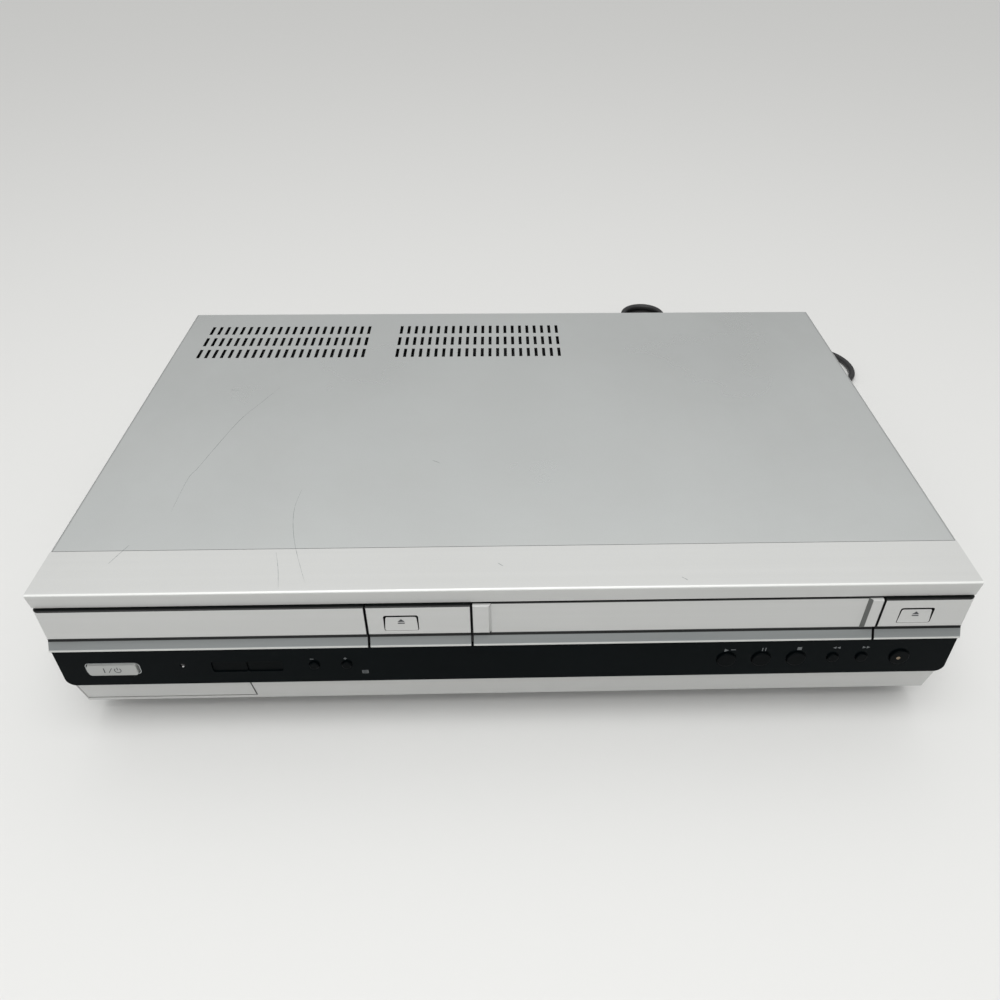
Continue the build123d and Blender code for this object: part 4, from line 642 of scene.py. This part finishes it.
def mains_cord():
    """The whole cord as one curve, from the strain relief round the loop and through the hank to the plug."""
    route = free_points + hank_points()
    curve = bpy.data.curves.new("mains_cord", "CURVE")
    curve.dimensions = "3D"
    spline = curve.splines.new("NURBS")
    spline.points.add(len(route) - 1)
    for point, (x, y, z) in zip(spline.points, route):
        point.co = (*at(x, y, z), 1.0)
    spline.order_u = 3
    spline.use_endpoint_u = True
    curve.resolution_u = 6
    curve.bevel_depth = CORD_D / 2 * MM
    curve.bevel_resolution = 5
    curve.materials.append(cord_rubber)
    cord = in_scene("mains_cord", curve)
    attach(cord, "player")
    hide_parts("cord_free", "cord_hank")


# ---- flap and eject keys -------------------------------------------------------------------------
def merged_copy(node):
    """A CAD node's mesh as a closed mesh of its own."""
    mesh = nodes[node].data.copy()
    work = bmesh.new()
    work.from_mesh(mesh)
    bmesh.ops.remove_doubles(work, verts=work.verts, dist=0.000001)
    work.to_mesh(mesh)
    work.free()
    return mesh


# The sunk panel's two ends: where they slope from at the flap's front, and to at the panel.
FLAP_FRONT = (-10.2, 166.5)
FLAP_PANEL = (-9.0, 164.9)
PANEL_DEPTH = 1.8
CUT_AHEAD = 2.0
PANEL_HEIGHTS = (67.55, 90.0)


def flap_with_open_foot():
    """The cassette flap: its sunk panel runs down to the trim, between two ends that slope."""
    slope = [(FLAP_FRONT[i] - FLAP_PANEL[i]) / PANEL_DEPTH for i in (0, 1)]
    corners = []
    for z in PANEL_HEIGHTS:
        for i in (0, 1):
            corners += [at(FLAP_FRONT[i] + CUT_AHEAD * slope[i], -CUT_AHEAD, z),
                        at(FLAP_PANEL[i], PANEL_DEPTH, z)]
    block = bpy.data.meshes.new("panel_cut")
    work = bmesh.new()
    points = [work.verts.new(corner) for corner in corners]
    for face in ((0, 1, 3, 2), (4, 6, 7, 5), (0, 4, 5, 1), (2, 3, 7, 6), (0, 2, 6, 4), (1, 5, 7, 3)):
        work.faces.new([points[i] for i in face])
    bmesh.ops.recalc_face_normals(work, faces=work.faces)
    work.to_mesh(block)
    work.free()
    cutter = in_scene("panel_cut", block)
    blank = in_scene("flap_blank", merged_copy("cassette_flap"))
    cut = blank.modifiers.new("cut", "BOOLEAN")
    cut.object = cutter
    cut.solver = "EXACT"
    mesh = bpy.data.meshes.new_from_object(blank.evaluated_get(bpy.context.evaluated_depsgraph_get()))
    bpy.data.objects.remove(blank)
    bpy.data.objects.remove(cutter)
    mesh.name = "flap_panel"
    flap = piece("flap_panel", mesh, flap_paint, "flap")
    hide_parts("cassette_flap")


KEY_LOW = 72.2
KEY_HIGH = 82.2
KEY_SKIN = 4.5
KEY_SINK = 1.05
KEY_NARROW = 0.09
KEY_LEAN = 0.35


def eject_caps():
    """The two eject keys, each a little lower and narrower at its top, so that a gap shows over it, darkened
    by painted shade on the key's top.
    """
    for name, x in EJECT_KEYS.items():
        node = name + "_button"
        mesh = merged_copy(node)
        for point in mesh.vertices:
            share = max((point.co.z / MM - KEY_LOW) / (KEY_HIGH - KEY_LOW), 0.0)
            if point.co.y < (KEY_SKIN + FACE_Y) * MM:
                point.co.z -= KEY_SINK * MM * share
                point.co.x -= (point.co.x - x * MM) * KEY_NARROW * share
                point.co.y += KEY_LEAN * MM * share
        cap = piece(name + "_cap", mesh, key_paint, node)
        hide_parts(node)


# The power key's face stands ahead of POWER_SKIN, and its hole is a rounded rectangle.
POWER_SKIN = 2.6
POWER_SHORTER = 0.06
HOLE_HALF = (12.3, 3.5)
HOLE_CORNER = 1.75
RING_GAP = 0.12
RING_EDGE = 0.45
RING_PROUD = 0.12
CORNER_STEPS = 6


def power_cap():
    """The power key, a little shorter than its hole, and the thin bright ring round the hole."""
    x, z = POWER_KEY
    mesh = merged_copy("power_button")
    for point in mesh.vertices:
        if point.co.y < (POWER_SKIN + FACE_Y) * MM:
            point.co.x += (x * MM - point.co.x) * POWER_SHORTER
    cap = piece("power_cap", mesh, silver_key, "power_button")
    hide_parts("power_button")
    wide, tall = (half - HOLE_CORNER for half in HOLE_HALF)
    loops = []
    for r in (HOLE_CORNER + RING_EDGE, HOLE_CORNER + RING_GAP):
        loop = []
        for cx, cz, start_deg in ((wide, tall, 0), (-wide, tall, 90), (-wide, -tall, 180),
                                  (wide, -tall, 270)):
            for i in range(CORNER_STEPS + 1):
                angle = math.radians(start_deg + 90 / CORNER_STEPS * i)
                loop.append((x + cx + r * math.cos(angle), z + cz + r * math.sin(angle)))
        loops.append(loop)
    outer, inner = loops
    count = len(outer)
    outlines = [[outer[i], outer[(i + 1) % count], inner[(i + 1) % count], inner[i]] for i in range(count)]
    ring = plates("power_ring", outlines, on_front(0.0), RING_PROUD)
    piece("power_ring", ring, bright_ring)


# The moulding's base leans back below BASE_TOP, where its face lies at BASE_TOP_Y.
BASE_TOP = 37.0
BASE_TOP_Y = 3.4
BASE_LEAN = 5.8 / 22.8


def lamp_and_gap():
    """The small lamp's lens, and a thin dark plate of painted shade in the gap at the right end of the
    line-input flap.
    """
    lens = plates("lamp_lens", [arc_band(*STANDBY_LAMP, 0.02, 0.42, 0, 350, 20)], on_front(0.4), 0.3)
    piece("lamp_lens", lens, lamp_white)
    # A thin near-black plate just proud of the base paints the shade of the flap's right-hand gap.
    line = plates("input_flap_gap_shade", [bar(-129.15, -128.5, 17.2, 33.6)],
                  lambda u, v, height: at(u, BASE_TOP_Y + (BASE_TOP - v) * BASE_LEAN - height, v), 0.03)
    piece("input_flap_gap_shade", line, gap_shade_finish)


# ---- printed symbols -----------------------------------------------------------------------------
def on_front(depth):
    """Places on a face that looks to the front, a little proud of it."""
    return lambda u, v, height: at(u, depth - height, v)


PRINT = 0.05
KEY_FACE = -1.2


def on_eject_key(u, v, height):
    """Places on an eject key's face, which leans back towards its top."""
    return at(u, KEY_LEAN * (v - KEY_LOW) / (KEY_HIGH - KEY_LOW) - 0.02 - height, v)


def front_symbols():
    """Symbols over the play, pause, stop, rewind, fast-forward and channel keys, and a small grid of bars."""
    outlines = [
        triangle(103.6, 54.9, 1.05, 1), bar(105.6, 108.0, 55.0, 55.4),
        bar(120.7, 121.2, 54.0, 56.2), bar(122.2, 122.7, 54.0, 56.2),
        bar(137.8, 139.9, 54.3, 56.3),
        triangle(155.9, 55.5, 0.8, -1), triangle(157.9, 55.5, 0.8, -1),
        triangle(170.3, 55.5, 0.8, 1), triangle(172.3, 55.5, 0.8, 1),
        bar(-95.6, -93.9, 53.2, 53.6), bar(-79.7, -78.1, 53.2, 53.6), bar(-79.1, -78.7, 52.6, 53.2),
        bar(-79.1, -78.7, 53.6, 54.2)]
    for low, high in ((42.6, 43.0), (43.5, 43.9), (44.4, 44.8)):
        outlines.append(bar(-71.8, -68.8, low, high))
    for left in (-71.8, -69.2):
        outlines += [bar(left, left + 0.4, 43.0, 43.5), bar(left, left + 0.4, 43.9, 44.4)]
    mesh = plates("key_symbols", outlines, on_front(0.0), PRINT)
    piece("key_symbols", mesh, dim_print)


def record_mark():
    """Small amber mark in the middle of the record key."""
    mesh = plates("record_mark", [arc_band(*RECORD_KEY, 0.05, 0.95, 0, 350, 30)], on_front(KEY_FACE), PRINT)
    piece("record_mark", mesh, amber_mark, "record_button")


def eject_symbols():
    """An eject symbol on each of the two eject keys."""
    for name, x in EJECT_KEYS.items():
        outlines = [[(x - 1.6, 77.9), (x + 1.6, 77.9), (x, 79.6)], bar(x - 1.6, x + 1.6, 76.7, 77.3)]
        mesh = plates(name + "_symbol", outlines, on_eject_key, PRINT)
        piece(name + "_symbol", mesh, dark_print, name + "_button")


def power_symbol():
    """Line and broken circle on the power key."""
    x, z = POWER_KEY
    outlines = [bar(x - 4.1, x - 3.6, z - 1.6, z + 1.6), bar(x + 2.3, x + 2.7, z + 0.2, z + 2.0),
                [(x - 2.2, z - 1.6), (x - 1.8, z - 1.6), (x + 0.2, z + 1.6), (x - 0.2, z + 1.6)],
                arc_band(x + 2.5, z, 1.3, 1.7, 125, 415)]
    mesh = plates("power_symbol", outlines, on_front(KEY_FACE), PRINT)
    piece("power_symbol", mesh, dark_print, "power_button")


# ---- marks on the cover --------------------------------------------------------------------------
# Each mark: the points of its line, and its width.
SCRATCHES = {
    "long": ([(-136.5, 176.2), (-144.6, 158.1), (-152.9, 139.0), (-160.1, 110.5), (-164.0, 93.2),
              (-166.5, 83.7), (-167.1, 56.9)], 0.35),
    "left": ([(-179.1, 32.8), (-182.0, 25.9), (-184.4, 19.9)], 0.45),
    "bent": ([(-105.9, 74.2), (-106.8, 59.7), (-105.1, 45.9), (-101.4, 31.3), (-96.4, 16.9),
              (-92.2, 5.8)], 0.3),
    "front": ([(-109.3, 26.6), (-105.9, 14.4), (-103.4, 2.2)], 0.28),
    "fleck_one": ([(-166.2, 172.0), (-160.8, 171.9)], 0.5),
    "fleck_two": ([(-40.9, 98.3), (-36.5, 95.5)], 0.4),
    "fleck_three": ([(77.7, 6.3), (80.1, 4.3)], 0.5),
    "fleck_four": ([(-5.7, 17.1), (-3.4, 15.1)], 0.5)}


def smooth_line(points, steps=8):
    """A Catmull-Rom line through the points."""
    line = []
    ends = [points[0]] + points + [points[-1]]
    for a, b, c, d in zip(ends, ends[1:], ends[2:], ends[3:]):
        for i in range(steps):
            t = i / steps
            line.append(tuple(0.5 * (2 * q + (r - p) * t + (2 * p - 5 * q + 4 * r - s) * t * t
                                     + (3 * q - p - 3 * r + s) * t ** 3) for p, q, r, s in zip(a, b, c, d)))
    return line + [points[-1]]


SCRATCH_LIFT = 0.02


def cover_scratches():
    """Scuffs rubbed into the cover's paint: thin tapered strips that follow each mark."""
    rng = random.Random(4)
    mesh = bpy.data.meshes.new("cover_scratches")
    work = bmesh.new()
    for points, width in SCRATCHES.values():
        line = smooth_line(points)
        left = []
        right = []
        for i, (x, y) in enumerate(line):
            ahead = line[min(i + 1, len(line) - 1)]
            behind = line[max(i - 1, 0)]
            along = Vector((ahead[0] - behind[0], ahead[1] - behind[1])).normalized()
            taper = math.sin(math.pi * (i + 0.5) / len(line)) ** 0.5
            half = width * (0.35 + 0.5 * rng.random()) * taper / 2
            for side, row in ((1, left), (-1, right)):
                row.append(work.verts.new(at(x - side * along.y * half, y + side * along.x * half,
                                             COVER_TOP + SCRATCH_LIFT)))
        for i in range(len(line) - 1):
            work.faces.new((left[i], right[i], right[i + 1], left[i + 1]))
    bmesh.ops.recalc_face_normals(work, faces=work.faces)
    for face in work.faces:
        if face.normal.z < 0:
            face.normal_flip()
    work.to_mesh(mesh)
    work.free()
    piece("cover_scratches", mesh, scuff)


# ---- rear details --------------------------------------------------------------------------------
SOCKET_COLUMNS = (-128.0, -112.0, -96.0, -80.0)
SOCKET_ROWS = (34.0, 50.0)
ANTENNA_X = -20.0
ANTENNA_ROWS = (34.0, 58.0)


def collar(name, centres, r0, r1, thick, material):
    """Flat rings round the sockets, standing on the rear panel."""
    outlines = []
    for x, z in centres:
        for part in range(4):
            outlines.append(arc_band(x, z, r0, r1, 90 * part, 90 * part + 90, 10))
    mesh = plates(name, outlines, lambda u, v, height: at(u, PANEL_BACK + height, v), thick)
    piece(name, mesh, material)


def rear_details():
    """Collars round the phono sockets, threads on the antenna terminals, ribs on the strain relief."""
    colours = ((white_plastic, "white"), (red_plastic, "red"), (yellow_plastic, "yellow"),
               (moulded_black, "black"))
    for x, (material, label) in zip(SOCKET_COLUMNS, colours):
        collar("socket_collar_" + label, [(x, z) for z in SOCKET_ROWS], 5.3, 6.9, 0.9, material)
    rings = ring_tree()
    threads = baked("antenna_threads", [at(ANTENNA_X, PANEL_BACK + 2.2, z) for z in ANTENNA_ROWS], rings,
                    {"Count": 11, "Pitch": 0.0008, "First Radius": 0.00462, "Last Radius": 0.00462,
                     "Wire": 0.00022, "Sides": 36}, nickel)
    piece("antenna_threads", threads, nickel)
    ribs = baked("gland_ribs", [at(EXIT_X, PANEL_BACK + 5.0, EXIT_Z)], rings,
                 {"Count": 9, "Pitch": 0.0021, "First Radius": 0.0042, "Last Radius": 0.0031, "Wire": 0.00055,
                  "Sides": 32}, cord_rubber)
    piece("gland_ribs", ribs, cord_rubber)


SCREW_HEAD = 1.9
CROSS_DEPTH = 0.03


def screw_crosses():
    """Cross recesses in the heads of the cover's screws."""
    cross = cross_tree()
    out = SCREW_HEAD - CROSS_DEPTH
    sides = [at(side * (COVER_SIDE + out), y, 22.0) for side in (-1, 1) for y in (90.0, 215.0)]
    rears = [at(x, COVER_REAR + out, COVER_TOP - 5.0) for x in (-180.0, 0.0, 180.0)]
    for name, points, turn in (("side_screw_crosses", sides, (0.0, math.pi / 2, 0.0)),
                               ("rear_screw_crosses", rears, (math.pi / 2, 0.0, 0.0))):
        mesh = baked(name, points, cross, {"Turn": turn}, moulded_black)
        piece(name, mesh, moulded_black)


# ---- stage ---------------------------------------------------------------------------------------
def floor():
    """A pale matt floor."""
    mesh = bpy.data.meshes.new("floor")
    reach = 3.0
    mesh.from_pydata([(-reach, -reach, 0), (reach, -reach, 0), (reach, reach, 0), (-reach, reach, 0)], [],
                     [(0, 1, 2, 3)])
    ground = in_scene("floor", mesh)
    material, _, shader, _ = start("pale_floor")
    shader.inputs["Base Color"].default_value = (0.70, 0.70, 0.69, 1.0)
    shader.inputs["Roughness"].default_value = 0.75
    mesh.materials.append(material)


def area_light(name, place, aim, size, power):
    """A square lamp that looks at a point."""
    lamp = bpy.data.lights.new(name, "AREA")
    lamp.energy = power
    lamp.size = size
    thing = in_scene(name, lamp)
    direction = Vector(aim) - Vector(place)
    thing.matrix_world = Matrix.Translation(place) @ direction.to_track_quat("-Z", "Y").to_matrix().to_4x4()


def lights():
    """Two soft lamps, a sky that is brighter overhead, and the pale backdrop that the camera sees."""
    world = bpy.data.worlds.new("studio")
    bpy.context.scene.world = world
    world.use_nodes = True
    tree = world.node_tree
    sky = tree.nodes["Background"]
    sky.inputs["Color"].default_value = (1.0, 1.0, 0.99, 1.0)
    height = add(tree, "ShaderNodeSeparateXYZ", {0: add(tree, "ShaderNodeTexCoord").outputs["Generated"]})
    tree.links.new(spread(tree, height.outputs["Z"], 0.15, 0.85, 0.12, 1.05), sky.inputs["Strength"])
    backdrop = add(tree, "ShaderNodeBackground", {"Color": (0.90, 0.90, 0.89, 1.0), "Strength": 1.0})
    seen = add(tree, "ShaderNodeMixShader", {0: add(tree, "ShaderNodeLightPath").outputs["Is Camera Ray"],
                                             1: sky.outputs[0], 2: backdrop.outputs[0]})
    tree.links.new(seen.outputs[0], tree.nodes["World Output"].inputs["Surface"])
    area_light("overhead", (0.0, -0.5, 1.4), (0.0, -0.1, 0.05), 0.9, 9.0)
    area_light("front_fill", (-0.5, -1.4, 0.9), (0.0, -0.1, 0.06), 0.9, 3.0)
    bpy.context.scene.view_settings.view_transform = "Standard"


def camera():
    """The photograph's own view, worked out from the case's corners."""
    focal = 834.953
    centre_x = 523.865
    centre_y = 481.153
    frame_px = 1000.0
    right = Vector((0.99958103, -0.02779321, 0.00808098))
    down = Vector((-0.01055372, -0.60994881, -0.79237054))
    ahead = Vector((0.0269515, 0.79195327, -0.60998658))
    data = bpy.data.cameras.new("camera")
    data.sensor_width = 36.0
    data.lens = focal / frame_px * data.sensor_width
    data.shift_x = (frame_px / 2 - centre_x) / frame_px
    data.shift_y = (centre_y - frame_px / 2) / frame_px
    data.clip_start = 0.01
    eye = in_scene("camera", data)
    turn = Matrix((right, -down, -ahead)).transposed().to_4x4()
    eye.matrix_world = Matrix.Translation(at(-3.775, -265.316, 363.064)) @ turn
    bpy.context.scene.camera = eye


camera()
dress_nodes()
mains_cord()
flap_with_open_foot()
eject_caps()
power_cap()
lamp_and_gap()
front_symbols()
record_mark()
eject_symbols()
power_symbol()
cover_scratches()
rear_details()
screw_crosses()
floor()
lights()
